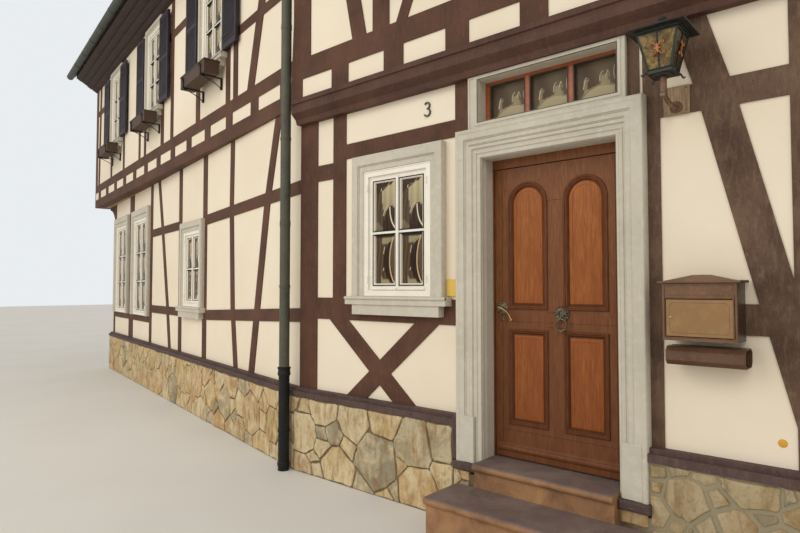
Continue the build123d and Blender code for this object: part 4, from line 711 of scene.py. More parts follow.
SLOPES = {
    "front": ((front_left_eave, verge_left, ridge_left), (front_right_eave, verge_right, ridge_right)),
    "back": ((back_left_eave, verge_left, ridge_left), (back_right_eave, verge_right, ridge_right)),
}
for name, pair in SLOPES.items():
    kink = meet(pair[0][0], pair[1][0])
    soup = Soup()
    for eave, verge, ridge in pair:
        slates(soup, eave, verge, kink, ridge, rng)
    soup.make("slates_" + name, "slate", slot="roof_slate", tone="tone")

# Flashing up the gable's verges, a round bead along each gutter's lip and straps under it
GUTTER_RADIUS, GUTTER_GAP, GUTTER_LIFT = 0.072, 0.008, 0.005
STRAP_RADIUS, STRAP_SPACING, FLASHING = 0.074, 0.8, 0.014
metal = Soup()
for eave in (front_left_eave, back_left_eave):
    metal.tube([meet(eave, verge_left) + UP * (EAVE_FOOT + ROOF_THICK + FLASHING),
                meet(ridge_left, verge_left) + UP * (EAVE_FOOT + rise + ROOF_THICK + FLASHING)], 0.012, 6)
front_kink = meet(front_left_eave, front_right_eave)
for eave, verge in ((front_left_eave, verge_left), (front_right_eave, verge_right)):
    out, end = outward(eave), meet(eave, verge)
    way = (end - front_kink).normalized()
    start = front_kink + way * 0.015
    lip = out * (GUTTER_GAP + 2 * GUTTER_RADIUS - 0.004) + UP * (EAVE_FOOT + GUTTER_LIFT)
    metal.tube([start + lip, end + lip], 0.009, 8)
    for k in range(int((end - start).length / STRAP_SPACING)):
        at = start + (end - start).normalized() * (STRAP_SPACING / 2 + STRAP_SPACING * k)
        centre = at + out * (GUTTER_GAP + GUTTER_RADIUS) + UP * (EAVE_FOOT + GUTTER_LIFT)
        metal.tube([centre + out * (STRAP_RADIUS * cos(t)) + UP * (STRAP_RADIUS * sin(t))
                    for t in np.linspace(pi, 2 * pi, 13)], 0.0065, 4, flat=2.0)
metal.make("gutter_trim", "gutter_paint", slot="sheet_metal")

# Pipe sleeves and clips, and a cast standpipe with its sockets
PIPE_AT, PIPE_OFF, TOP_CLIP = 0.05, 0.142, 5.2
SLEEVES = (((2.35, 4.3, 6.02), 0.0535, 0.004, 0.056), ((1.75, 3.2, TOP_CLIP), 0.0545, 0.002, 0.030))
PIPE = upper_left.at(PIPE_AT, 0, PIPE_OFF)
pipe = Soup()
for levels, swell, rim, tall in SLEEVES:
    for z in levels:
        pipe.lathe(PIPE + UP * z, UP, [(0.0505, 0), (swell, rim), (swell, tall - rim), (0.0505, tall)], 24)
clip = PIPE + UP * (TOP_CLIP + 0.015)
pipe.tube([clip - upper_left.out * 0.05, clip - upper_left.out * 0.146], 0.007, 6)
pipe.make("pipe_sleeves", "zinc_paint", slot="sheet_metal")
stand = Soup()
stand.lathe(PIPE, UP, [(0.054, 0.0), (0.054, 0.04), (0.060, 0.046), (0.060, 0.076), (0.053, 0.084),
                       (0.053, 0.36), (0.059, 0.366), (0.059, 0.390), (0.053, 0.396), (0.053, 0.90),
                       (0.062, 0.91), (0.062, 0.935), (0.059, 0.94), (0.059, 0.965), (0.064, 0.97),
                       (0.064, 0.985), (0.050, 0.99)], 28)
stand.make("standpipe_sockets", "cast_iron", slot="cast_iron", replaces=("standpipe",))


def mould(soup, face, path, profile, closed=True):
    """Moulding along a drawn path: profile gives how far in from the path and how far out of the wall."""
    rings = []
    for i, p in enumerate(path):
        normals = []
        if closed or i:
            normals.append(across(path[i - 1], p))
        if closed or i < len(path) - 1:
            normals.append(across(p, path[(i + 1) % len(path)]))
        x, y = sum(n[0] for n in normals), sum(n[1] for n in normals)
        size = (x * x + y * y) / len(normals)
        rings.append(soup.ring([face.at(p[0] + x / size * a, p[1] + y / size * a, d) for a, d in profile]))
    for a, b in zip(rings, rings[1:] + (rings[:1] if closed else [])):
        soup.bridge(a, b, closed=False)
    if not closed:
        soup.faces += [tuple(reversed(rings[0])), tuple(rings[-1])]


# Kinds of window: width, height, border beside and above, how proud the stone stands, panes high, sill
KINDS = {
    "small": (0.75, 1.095, 0.125, 0.14, 0.055, 2, True),
    "large": (0.93, 1.799, 0.185, 0.185, 0.055, 3, False),
    "upper": (0.72, 1.40, 0.10, 0.10, 0.04, 3, True),
}
FACE_STEP, SASH_BEHIND, SASH_FRAME, SASH_STILE, REBATE, GLASS_BACK = 0.016, 0.012, 0.05, 0.048, 0.022, 0.034
SILL_PROUD, SILL_EAR, BAR, UPPER_SILL = 0.085, 0.055, 0.036, 4.72
large_at = left.length - 0.835
upper_far = upper_left.length - 1.99
WINDOWS = [(front, s, 1.678, "small", True) for s in (1.275, RIGHT_LENGTH - 1.275)]
WINDOWS += [(left, 3.395, 1.48, "small", True)]
WINDOWS += [(left, s, 1.246, "large", True) for s in (large_at - 1.645, large_at)]
SHUTTERED = [(upper_left, s, UPPER_SILL, "upper", True) for s in (2.45, 5.15, upper_far)]
SHUTTERED += [(upper_front, s, UPPER_SILL, "upper", True) for s in (1.73, RIGHT_LENGTH - 1.73)]
WITH_BOXES = list(SHUTTERED)
SHUTTERED += [(upper_gable, s, UPPER_SILL, "upper", False) for s in (1.5, 4.7)]
WINDOWS += SHUTTERED
WINDOWS += [(back_right, s, z, kind, False) for s in (1.5, 3.3)
            for z, kind in ((1.6, "small"), (UPPER_SILL, "upper"))]
WINDOWS += [(back_left, s, 1.6, "small", False) for s in (1.5, 4.1, 6.7)]
WINDOWS += [(upper_back_left, s, UPPER_SILL, "upper", False) for s in (1.5, 3.7, 5.9, 7.9)]
WINDOWS += [(gable, s, 1.6, "small", False) for s in (1.5, 4.1)] + [(upper_gable, 3.3, 7.25, "upper", False)]


def reflection_paleness(look_of, u, v):
    """How pale a place in a pane is painted: a painted reflection of the street, bent by the old glass."""
    if look_of == "fan":
        if ((u - 0.62) / 0.5) ** 2 + (v / 0.34) ** 2 < 1:
            return 0.72
        if abs(u - 0.24 - 0.06 * v) < 0.05 and v < 0.56:
            return 0.6
        if 0.6 < u < 0.86 - 0.1 * v and v < 0.6:
            return 0.64
        return 0.3 + 0.16 * u * v + 0.05 * sin(9 * u + 3 * v)
    stripes = 0.07 * sin(38 * u + 2 * sin(6 * v))
    if look_of == "high":
        if ((u - 0.76) / 0.36) ** 2 + (v / 0.47) ** 2 < 1 + 0.06 * sin(17 * v):
            return 0.14 + stripes
        if v > 0.7 + 0.32 * u or (v > 0.9 and u < 0.8):
            return 0.18
        if u > 0.4 + 0.06 * sin(7 * v):
            return 0.78 - 0.16 * (1 - v) + 0.04 * sin(23 * u)
        return 0.5 if v < 0.13 + 0.05 * sin(12 * u) else 0.3 + stripes
    if u > 0.72 + 1.1 * (v - 0.52) ** 2:
        return 0.36
    if ((u - 0.86) / 0.42) ** 2 + ((v - 0.46) / 0.42) ** 2 < 1:
        return 0.1 + stripes * 0.6
    if v > 0.95:
        return 0.12
    if (u > 0.36 and v > 0.8) or (0.3 < u < 0.8 and v < 0.16 + 0.06 * sin(9 * u)):
        return 0.66
    return 0.3 + stripes


REFLECTION_LINES = {
    "high": [[(0.72, 0.47), (0.73, 0.34), (0.78, 0.2), (0.88, 0.09), (0.98, 0.03)],
             [(0.4, 0.3), (0.5, 0.45), (0.62, 0.5)], [(0.66, 0.5), (0.8, 0.49)],
             [(0.4, 0.86), (0.52, 0.88)], [(0.6, 0.9), (0.75, 0.98)], [(0.3, 0.8), (0.33, 0.86)]],
    "low": [[(0.88, 0.95), (0.75, 0.74), (0.7, 0.5), (0.74, 0.26), (0.86, 0.08), (0.96, 0.02)],
            [(0.45, 0.82), (0.58, 0.87), (0.7, 0.9)], [(0.42, 0.62), (0.48, 0.76)],
            [(0.4, 0.28), (0.44, 0.34)]],
    "fan": [[(0.12, 0.04), (0.28, 0.24), (0.6, 0.35), (0.88, 0.3), (0.985, 0.24)],
            [(0.6, 0.42), (0.6, 0.6), (0.68, 0.68)], [(0.74, 0.52), (0.8, 0.72), (0.84, 0.5)],
            [(0.97, 0.36), (0.92, 0.56), (0.97, 0.84)], [(0.2, 0.3), (0.25, 0.6), (0.31, 0.58)]],
}


def pane(soup, face, s0, s1, z0, z1, d, look_of, flip=False):
    """Old glass with painted reflections: pale and dark patches from its tone, and bright bent lines on it.
    """
    fine = look_of != "plain"
    nx, nz = (22, 30) if fine else (3, 4)

    def at(u, v, out=0.0):
        share = 1 - u if flip else u
        return face.at(s0 + (s1 - s0) * share, z0 + (z1 - z0) * v, d + out)

    rows = []
    for j in range(nz + 1):
        row = []
        for i in range(nx + 1):
            u, v = i / nx, j / nz
            soup.value = reflection_paleness(look_of, u, v) if fine else 0.42
            row += soup.ring([at(u, v, 0.002 * sin(pi * u) * sin(pi * v))])
        rows.append(row)
    for a, b in zip(rows, rows[1:]):
        soup.bridge(a, b, closed=False)
    # Painted reflections: bright bent lines of the mirrored street, laid on the glass as thin pale tubes
    for points in REFLECTION_LINES.get(look_of, ()):
        smooth = [Vector((a, b, 0)) for a, b in points]
        for _ in range(2):
            cut_ends = [smooth[0]]
            for p, q in zip(smooth, smooth[1:]):
                cut_ends += [p.lerp(q, 0.25), p.lerp(q, 0.75)]
            smooth = cut_ends + [smooth[-1]]
        thick = 0.0065 if len(points) > 4 else 0.0034
        soup.value = 0.9 if look_of == "low" and len(points) > 4 else 0.98
        soup.tube([at(min(p.x, 0.985), max(p.y, 0.015), 0.0025) for p in smooth], thick, 5, flat=0.3)
    # Painted reflection: a thin bright line near the pane's edge
    if look_of in ("high", "low"):
        soup.value = 0.97
        soup.tube([at(0.075, 0.02, 0.003), at(0.075, 0.98, 0.003)], 0.0022, 4, flat=0.3)
    soup.value = 0.0


panes, trim, seals_and_shade = Soup(), Soup(), Soup()
for face, s, sill, kind, street_side in WINDOWS:
    width, height, border, head, proud, high, has_sill = KINDS[kind]
    half, top = width / 2, sill + height
    sash = proud - FACE_STEP - SASH_BEHIND
    face_d, glass_d = sash - REBATE, sash - GLASS_BACK
    light_z0, light_z1 = sill + SASH_FRAME + SASH_STILE, top - SASH_FRAME - SASH_STILE
    for way in (-1, 1):
        near, far = s + way * SASH_STILE / 2, s + way * (half - SASH_FRAME - SASH_STILE)
        a, b = min(near, far), max(near, far)
        mould(trim, face, rect_path(a, b, light_z0, light_z1),
              [(0.0, glass_d), (0.0, face_d + 0.001), (0.004, face_d + 0.003), (0.012, face_d - 0.006),
               (0.013, glass_d)])
        levels = [light_z0 + (light_z1 - light_z0) * k / high for k in range(high + 1)]
        for z in levels[1:-1]:
            trim.box(face, a, b, z - BAR / 2, z + BAR / 2, glass_d, face_d + 0.002, 0.004, back=False)
        for k in range(high):
            low_z = levels[k] + (BAR / 2 if k else 0)
            high_z = levels[k + 1] - (BAR / 2 if k < high - 1 else 0)
            # Dark strip round each pane: partly the real glazing seal, partly painted shadow in the rebate
            mould(seals_and_shade, face, rect_path(a, b, low_z, high_z),
                  [(-0.008, face_d + 0.001), (-0.008, face_d + 0.0042), (0.0, face_d + 0.0042),
                   (0.004, glass_d)])
            shape = ("low" if k == 0 and high == 2 else "high") if street_side else "plain"
            pane(panes, face, a, b, low_z, high_z, glass_d - 0.002, shape, face.flip)
        rail = light_z0 - SASH_STILE
        trim.plate(face, [(a - 0.02, rail + 0.004), (b + 0.02, rail + 0.004), (b + 0.02, rail + 0.03),
                          (a - 0.02, rail + 0.03)], face_d, face_d + 0.018, 0.007, back=False)
        hinge_s = s + way * (half - SASH_FRAME + 0.003)
        for z in (light_z0 + 0.02, light_z1 - 0.08):
            trim.lathe(face.at(hinge_s, z, sash + 0.004), UP, [(0.006, 0), (0.0075, 0.002), (0.0075, 0.058),
                                                                   (0.006, 0.06)], 8)
    trim.box(face, s - 0.016, s + 0.016, light_z0 - 0.03, light_z1 + 0.03, face_d, face_d + 0.012, 0.006,
             back=False)
    mould(trim, face, rect_path(s - half, s + half, sill, top),
          [(0.0, sash + 0.001), (0.004, sash + 0.007), (0.011, sash + 0.007), (0.015, sash)])
trim.make("window_beads", "white_paint", slot="white_paint")
seals_and_shade.make("glazing_seals_and_shade", "dark_inside", slot="black_iron")


# Stone window borders: a bead in the step, a moulding round the outer edge and a rounded sill edge
stonework = Soup()
for face, s, sill, kind, street_side in WINDOWS:
    width, height, border, head, proud, high, has_sill = KINDS[kind]
    half, top = width / 2, sill + height
    step = border * 0.45
    inner = half + step
    border_path = [(s + inner, sill), (s + inner, top + step), (s - inner, top + step), (s - inner, sill)]
    mould(stonework, face, border_path, [(0.0, proud - 0.016), (0.0, proud - 0.007), (0.004, proud - 0.004),
                                         (0.009, proud - 0.007), (0.010, proud - 0.0158)], closed=False)
    outer = half + border
    border_path = [(s + outer, sill), (s + outer, top + head), (s - outer, top + head), (s - outer, sill)]
    mould(stonework, face, border_path, [(-0.002, proud - 0.03), (-0.002, proud - 0.008),
                                         (0.004, proud + 0.002), (0.012, proud + 0.002),
                                         (0.016, proud)], closed=False)
    if has_sill:
        ear = outer + SILL_EAR
        stonework.lathe(face.at(s - ear, sill - 0.014, SILL_PROUD), face.along,
                        [(0.0135, 0.0), (0.0145, 0.002), (0.0145, 2 * ear - 0.002), (0.0135, 2 * ear)], 12)
stonework.make("stone_beads", "dressed_stone", slot="dressed_stone")


# Shutters: tilted slats in each leaf's two fields, edge mouldings and an iron strap at each pintle
SHUTTER_WIDTH, SHUTTER_HEIGHT, SHUTTER_STILE = 0.44, 1.40, 0.055
slats, straps = Soup(), Soup()
for face, s, sill, kind, street_side in SHUTTERED:
    outer = KINDS[kind][0] / 2 + KINDS[kind][2]
    for way in (-1, 1):
        near = s + way * (outer + 0.014)
        far = near + way * SHUTTER_WIDTH
        a, b = min(near, far) + SHUTTER_STILE, max(near, far) - SHUTTER_STILE
        foot = sill + 0.01
        head, middle = foot + SHUTTER_HEIGHT, foot + SHUTTER_HEIGHT / 2
        for low, high in ((foot + 0.065, middle - 0.025), (middle + 0.025, head - SHUTTER_STILE)):
            count = round((high - low) / 0.034)
            pitch = (high - low) / count
            for k in range(count):
                z = low + pitch * k
                rings = []
                for u in (a + 0.001, b - 0.001):
                    rings.append([face.at(u, z + pitch * 0.98, 0.0485), face.at(u, z + pitch * 0.98, 0.0545),
                                  face.at(u, z + 0.004, 0.0625), face.at(u, z, 0.0605),
                                  face.at(u, z, 0.0565)])
                slats.stack(rings)
            mould(slats, face, rect_path(a, b, low, high), [(-0.001, 0.062), (0.0, 0.065), (0.006, 0.064),
                                                           (0.009, 0.058), (0.009, 0.048)])
        for z in (foot + 0.15, head - 0.19):
            end = near + way * 0.3
            straps.box(face, min(near, end), max(near, end), z + 0.004, z + 0.036, 0.0622, 0.0655, 0.0012)
            straps.lathe(face.at(near - way * 0.004, z - 0.004, 0.052), UP, [(0.008, 0), (0.008, 0.05)], 10)
slats.make("shutter_slats", "louvre_paint", slot="louvre_paint")
straps.make("shutter_straps", "forged_iron", slot="black_iron")


# Flower box holders: a curl at the front, a stay from the wall and a rim on each box
BOX_LENGTH, BOX_DEPTH, BOX_HEIGHT, BOX_OFF, BOX_DROP, HOLDER = 0.9, 0.19, 0.17, 0.08, 0.285, 0.12
scrolls, rims = Soup(), Soup()
for face, s, sill, kind, street_side in WITH_BOXES:
    foot = sill - BOX_DROP
    a, b = s - BOX_LENGTH / 2, s + BOX_LENGTH / 2
    outer_d = BOX_OFF + BOX_DEPTH
    for at in (a + HOLDER, b - HOLDER):
        stay = [face.at(at, foot - 0.14 + 0.13 * t, 0.014 + (outer_d - 0.02) * t ** 1.6)
                for t in np.linspace(0, 1, 9)]
        scrolls.tube(stay, 0.006, 6)
        curl = []
        for t in np.linspace(0, 1, 22):
            angle, r = -pi / 2 + t * 3.4 * pi, 0.034 * (1 - 0.75 * t)
            curl.append(face.at(at, foot + 0.112 + r * sin(angle),
                                outer_d + 0.012 + 0.002 - r * cos(angle) * 0.35))
        scrolls.tube(curl, 0.0045, 5)
        scrolls.tube([face.at(at - 0.012 * side, foot - 0.145, 0.013) for side in (-1, 1)], 0.004, 6)
    rim_foot, rim_top = foot + BOX_HEIGHT - 0.016, foot + BOX_HEIGHT + 0.002
    for near, far in ((outer_d - 0.002, outer_d + 0.007), (BOX_OFF - 0.007, BOX_OFF + 0.002)):
        rims.box(face, a - 0.006, b + 0.006, rim_foot, rim_top, near, far, 0.003)
    for end, way in ((a, -1), (b, 1)):
        c, d = end + way * 0.006, end - way * 0.002
        rims.box(face, min(c, d), max(c, d), rim_foot, rim_top, BOX_OFF, outer_d, 0)
    for k in range(7):
        rib = a + 0.09 + k * (BOX_LENGTH - 0.18) / 6
        rims.box(face, rib - 0.012, rib + 0.012, foot + 0.012, foot + BOX_HEIGHT - 0.03, outer_d - 0.002,
                 outer_d + 0.003, 0.0015, back=False)
scrolls.make("holder_scrolls", "forged_iron", slot="black_iron")
rims.make("flower_box_rims", "box_plastic", slot="box_plastic")


# Boards along the sloping eaves
PLATE_FOOT, SOFFIT_DROP = 6.25, 0.075
boards_soup = Soup()
party_line, gable_line = (0, RIGHT_LENGTH - 0.24), (180 - TURN_ROOF, LEFT_REACH + GABLE_JETTY)
kink_x, back_x = front_kink.x, outline(GROUND)[BACK_L].x
EAVE_RUNS = (
    (UPPER_PLAN[LEFT], front_left_eave, (0, -0.004), gable_line),
    (UPPER_PLAN[FRONT], front_left_eave, (0, 0.004), (0, kink_x - 0.003)),
    (UPPER_PLAN[FRONT], front_right_eave, (0, kink_x + 0.003), party_line),
    (UPPER_PLAN[BACK_R], back_right_eave, party_line, (0, back_x + 0.064)),
    (UPPER_PLAN[BACK_L], back_left_eave, (0, back_x - 0.064), gable_line),
)
BOARD_COUNT = 4
for wall_line, eave, start_line, end_line in EAVE_RUNS:
    corners = []
    for cutting in (start_line, end_line):
        corners.append((meet(wall_line, cutting) + UP * PLATE_FOOT,
                        meet(eave, cutting) + UP * (EAVE_FOOT - SOFFIT_DROP)))
    (a0, a1), (b0, b1) = corners
    normal = (b0 - a0).cross(a1 - a0).normalized()
    if normal.z > 0:
        normal = -normal
    for k in range(BOARD_COUNT):
        low, high = (k + 0.03) / BOARD_COUNT, (k + 0.97) / BOARD_COUNT
        thick = 0.012 + 0.006 * (k % 2)
        rings = []
        for t, d in ((low, -0.002), (low, thick - 0.003), (low + 0.012, thick), (high - 0.012, thick),
                     (high, thick - 0.003), (high, -0.002)):
            rings.append([a0.lerp(a1, t) + normal * d, b0.lerp(b1, t) + normal * d])
        loop = [r[0] for r in rings], [r[1] for r in rings]
        boards_soup.stack(loop)
boards_soup.make("eaves_strips", "eaves_wood", slot="eaves_wood")


# Stone round the doorway: beads along its steps, joint lines and a sunk panel at each jamb's foot
SURROUND_LEFT, SURROUND_RIGHT, SURROUND_TOP, JAMB_FOOT = 1.925, 3.32, 2.94, 0.46
DOOR_LEFT, DOOR_RIGHT, DOOR_HEAD = 2.131, 3.146, 2.72
portal = Soup()


def over(opening, grow):
    """Open path up the right jamb, over the head and down the left one, grown by a distance."""
    low, high, head = opening
    return [(high + grow, JAMB_FOOT), (high + grow, head + grow), (low - grow, head + grow),
            (low - grow, JAMB_FOOT)]


STONE_EDGE, CLEAR = (SURROUND_LEFT, SURROUND_RIGHT, SURROUND_TOP), (DOOR_LEFT, DOOR_RIGHT, DOOR_HEAD)
PORTAL_BEADS = (
    (STONE_EDGE, 0.0, [(-0.004, 0.0), (-0.004, 0.070), (0.0, 0.077), (0.006, 0.080), (0.020, 0.080),
                       (0.026, 0.077), (0.030, 0.075)]),
    (STONE_EDGE, -0.072, [(0.0, 0.060), (0.0, 0.068), (0.004, 0.070), (0.009, 0.067), (0.011, 0.060)]),
    (STONE_EDGE, -0.112, [(0.0, 0.046), (0.0, 0.054), (0.004, 0.056), (0.009, 0.053), (0.011, 0.046)]),
    (CLEAR, 0.094, [(0.0, 0.045), (0.0, 0.0595), (0.018, 0.0595), (0.022, 0.057), (0.024, 0.052),
                    (0.0245, 0.045)]),
    (CLEAR, 0.044, [(0.0, 0.045), (0.001, 0.052), (0.006, 0.0545), (0.011, 0.0515), (0.0125, 0.045)]),
    (CLEAR, 0.0, [(-0.001, 0.030), (0.0035, 0.028), (0.0035, 0.006), (0.001, 0.003), (0.001, -0.006),
                  (0.0035, -0.010), (0.0035, -0.034), (-0.001, -0.037)]),
    (CLEAR, 0.012, [(-0.006, 0.046), (-0.004, 0.049), (0.004, 0.050), (0.010, 0.047), (0.0118, 0.04),
                    (0.0118, 0.03)]),
)
for opening, grow, profile in PORTAL_BEADS:
    mould(portal, street_face, over(opening, grow), profile, closed=False)
for a, b in ((SURROUND_LEFT + 0.03, SURROUND_LEFT + 0.155), (SURROUND_RIGHT - 0.155, SURROUND_RIGHT - 0.03)):
    portal.box(street_face, a, b, JAMB_FOOT + 0.002, 0.80, 0.04, 0.0785, 0.003)
portal.make("portal_beads", "dressed_stone", slot="dressed_stone")
blocks = Soup()
for a, b in ((SURROUND_LEFT - 0.022, DOOR_LEFT - 0.004), (DOOR_RIGHT + 0.004, SURROUND_RIGHT + 0.022)):
    blocks.box(street_face, a, b, 0.40, JAMB_FOOT, 0.0, 0.104, 0.011)
blocks.make("jamb_blocks", "base_stone", slot="base_stone", replaces=("jamb_bases",))
band = Soup()
band.box(street_face, 1.886, 1.9235, JAMB_FOOT + 0.003, 0.80, 0.0, 0.074, 0.004)
band.make("jamb_band", "ledge_paint", slot="base_stone")
TRANSOM = (2.10, 3.15, 3.0, 3.318)
lip = Soup()
mould(lip, street_face, rect_path(*TRANSOM), [(-0.03, 0.03), (-0.028, 0.035), (-0.008, 0.035),
                                              (-0.006, 0.030), (-0.001, 0.030), (-0.0005, 0.02)])
mould(lip, street_face, [(3.208, 2.945), (3.208, 3.35), (2.013, 3.35), (2.013, 2.945)],
      [(-0.001, 0.015), (-0.001, 0.032), (0.003, 0.036), (0.016, 0.036), (0.019, 0.030)], closed=False)
lip.make("transom_lip", "dressed_stone", slot="dressed_stone")


# Light over the door: three panes of crown glass and a bead round each
LIGHTS, TRANSOM_BAR, TRANSOM_RAIL = 3, 0.046, 0.0276
transom_beads, putty_and_shade = Soup(), Soup()
pitch = (TRANSOM[1] - TRANSOM[0] - TRANSOM_BAR) / LIGHTS
for k in range(LIGHTS):
    s = TRANSOM[0] + TRANSOM_BAR + k * pitch
    opening = (s, s + pitch - TRANSOM_BAR, TRANSOM[2] + TRANSOM_RAIL, TRANSOM[3] - TRANSOM_RAIL)
    mould(transom_beads, street_face, rect_path(*opening),
          [(-0.012, -0.0805), (-0.012, -0.0785), (-0.009, -0.078), (-0.009, -0.0805)])
    # Dark strip round each pane: partly real glazing putty, partly painted shadow at the pane's edge
    mould(putty_and_shade, street_face, rect_path(*opening), [(-0.004, -0.079), (-0.004, -0.0755), (0.003, -0.0755),
                                                    (0.006, -0.105)])
    pane(panes, street_face, *opening, -0.106, "fan")
transom_beads.make("transom_beads", "transom_oak", slot="white_paint")
putty_and_shade.make("transom_putty_and_shade", "glazing_putty_and_shade", slot="white_paint")
panes.make("window_panes", "window_glass", slot="window_glass", replaces=("window_glass",), tone="tone")


# Door leaf: joint lines, mouldings round the four panels, weather bar
LEAF_LEFT, LEAF_RIGHT, LEAF_FOOT, LEAF_TOP, LEAF_D = 2.146, 3.131, 0.498, 2.645, -0.135
MIDDLE = (LEAF_LEFT + LEAF_RIGHT) / 2
ARCH_FOOT, ARCH_TOP, LOWER_FOOT, LOWER_TOP = 1.608, 2.517, 0.759, 1.432
PANEL_NEAR, PANEL_WIDE = 0.075, 0.29


def arch_path(a, b, foot, top, count=18):
    r = (b - a) / 2
    return [(a, foot), (b, foot)] + arc((a + b) / 2, top - r, r, 0, 180, count)


seams, beads, fields = Soup(), Soup(), Soup()
for a in (LEAF_LEFT + 0.06, LEAF_RIGHT - 0.062):
    seams.box(street_face, a, a + 0.0022, LEAF_FOOT + 0.08, LEAF_TOP - 0.004, LEAF_D - 0.001, LEAF_D + 0.0006)
for z in (LOWER_TOP + 0.035, ARCH_FOOT - 0.035, ARCH_TOP - 0.14):
    near_width = PANEL_NEAR - 0.012
    seams.box(street_face, MIDDLE - near_width, MIDDLE + near_width, z, z + 0.002, LEAF_D - 0.001,
              LEAF_D + 0.0006)
for z in (0.70, 1.50):
    seams.box(street_face, LEAF_LEFT + 0.062, LEAF_RIGHT - 0.062, z, z + 0.0016, LEAF_D - 0.001,
              LEAF_D + 0.0005)
BOLECTION = [(-0.016, LEAF_D), (-0.015, LEAF_D + 0.007), (-0.010, LEAF_D + 0.011), (-0.003, LEAF_D + 0.011),
             (0.001, LEAF_D + 0.006), (0.004, LEAF_D + 0.003), (0.010, LEAF_D + 0.002),
             (0.014, LEAF_D - 0.004), (0.020, LEAF_D - 0.010), (0.022, LEAF_D - 0.0158)]
FIELD = [(0.026, LEAF_D - 0.0158), (0.030, LEAF_D - 0.006), (0.033, LEAF_D - 0.0045),
         (0.052, LEAF_D - 0.0035), (0.0535, LEAF_D - 0.0062)]
for way in (-1, 1):
    inner = MIDDLE + way * PANEL_NEAR
    outer = inner + way * PANEL_WIDE
    a, b = min(inner, outer), max(inner, outer)
    for path in (arch_path(a, b, ARCH_FOOT, ARCH_TOP), rect_path(a, b, LOWER_FOOT, LOWER_TOP)):
        mould(beads, street_face, path, BOLECTION)
        mould(fields, street_face, path, FIELD)
beads.make("door_mouldings", "bead_oak", "door", slot="door_wood")
fields.make("panel_fields", "panel_oak", "door", slot="panel_wood")
seams.make("door_seams", "dark_inside", "door", slot="door_wood")
bar = Soup()
profile = [(-0.1352, 0.552), (-0.118, 0.552), (-0.113, 0.560), (-0.113, 0.574), (-0.118, 0.586),
           (-0.1352, 0.605)]
bar.stack([[street_face.at(s, z, d) for d, z in profile] for s in (LEAF_LEFT + 0.026, LEAF_RIGHT - 0.026)])
bar.box(street_face, LEAF_LEFT + 0.004, LEAF_RIGHT - 0.004, LEAF_FOOT + 0.004, LEAF_FOOT + 0.05,
        LEAF_D - 0.001, LEAF_D + 0.006, 0.003, back=False)
bar.make("weather_bar", "door_oak", "door", slot="door_wood")


# Knocker: rosette with petals, and a ring thicker at its foot
KNOCKER_X, KNOCKER_Z, RING_PIN_Z, RING_Y = 2.69, 1.566, 1.554, 0.103
rosette = Soup()
rosette.lathe((KNOCKER_X, 0.135, KNOCKER_Z), TO_STREET,
              [(0.047, 0.0), (0.048, 0.004), (0.044, 0.008), (0.0405, 0.0105), (0.0402, 0.0188)], 28)
for k in range(12):
    angle = 2 * pi * k / 12
    centre = Vector((KNOCKER_X + 0.0435 * cos(angle), 0.129, KNOCKER_Z + 0.0435 * sin(angle)))
    rosette.lathe(centre, TO_STREET, [(0.009, 0), (0.0105, 0.002), (0.008, 0.006), (0.003, 0.008)], 8)
for k in range(9):
    angle = radians(-20 + 220 * k / 8)
    tip = Vector((KNOCKER_X + 0.052 * cos(angle), 0.122, KNOCKER_Z + 0.010 + 0.050 * sin(angle)))
    root = Vector((KNOCKER_X + 0.018 * cos(angle), 0.110, KNOCKER_Z + 0.010 + 0.016 * sin(angle)))
    rosette.tube([root, root.lerp(tip, 0.5) + Vector((0, -0.004, 0)), tip], [0.007, 0.0085, 0.003], 6)
rosette.make("knocker_rosette", "dark_bronze", "door", slot="brass")
ring = Soup()
ring_centre = Vector((KNOCKER_X, RING_Y, RING_PIN_Z - 0.02 - 0.042))
loop = np.linspace(0, 2 * pi, 40, endpoint=False)
ring.tube([ring_centre + Vector((0.042 * sin(t), 0, 0.042 * cos(t))) for t in loop],
          [0.0048 + 0.0022 * (1 - cos(t)) / 2 for t in loop], 10, closed=True)
ring.tube([(KNOCKER_X, RING_Y, RING_PIN_Z - 0.021), (KNOCKER_X, RING_Y, RING_PIN_Z)], [0.0055, 0.0075], 10)
ring.tube([(KNOCKER_X - 0.023, RING_Y, RING_PIN_Z), (KNOCKER_X + 0.023, RING_Y, RING_PIN_Z)], 0.0036, 10)
ring.lathe(ring_centre + Vector((0, 0, -0.051)), (0, 0, 1),
           [(0.003, -0.004), (0.008, 0), (0.009, 0.004), (0.008, 0.008), (0.003, 0.012)], 10)
ring.make("knocker_loop", "dark_bronze", "knocker", slot="black_iron", replaces=("knocker_ring",))

# Handle: turned rose on the leaf, a curved tapered lever with a rolled end, and a key plate below
HANDLE_X, HANDLE_Z = 2.205, 1.6
rose = Soup()
rose.lathe((HANDLE_X, 0.135, HANDLE_Z), TO_STREET, [(0.045, 0), (0.047, 0.003), (0.043, 0.007),
                                                    (0.038, 0.0085), (0.032, 0.011), (0.020, 0.0125),
                                                    (0.0115, 0.013)], 28)
for k in range(10):
    angle = 2 * pi * k / 10
    rose.lathe((HANDLE_X + 0.040 * cos(angle), 0.129, HANDLE_Z + 0.040 * sin(angle)), TO_STREET,
               [(0.009, 0), (0.010, 0.002), (0.007, 0.005), (0.002, 0.0065)], 8)
rose.lathe((HANDLE_X, 0.135, HANDLE_Z - 0.085), TO_STREET,
           [(0.017, 0), (0.018, 0.002), (0.016, 0.004), (0.006, 0.005)], 20)
rose.make("handle_rose", "dark_bronze", "door", slot="brass")
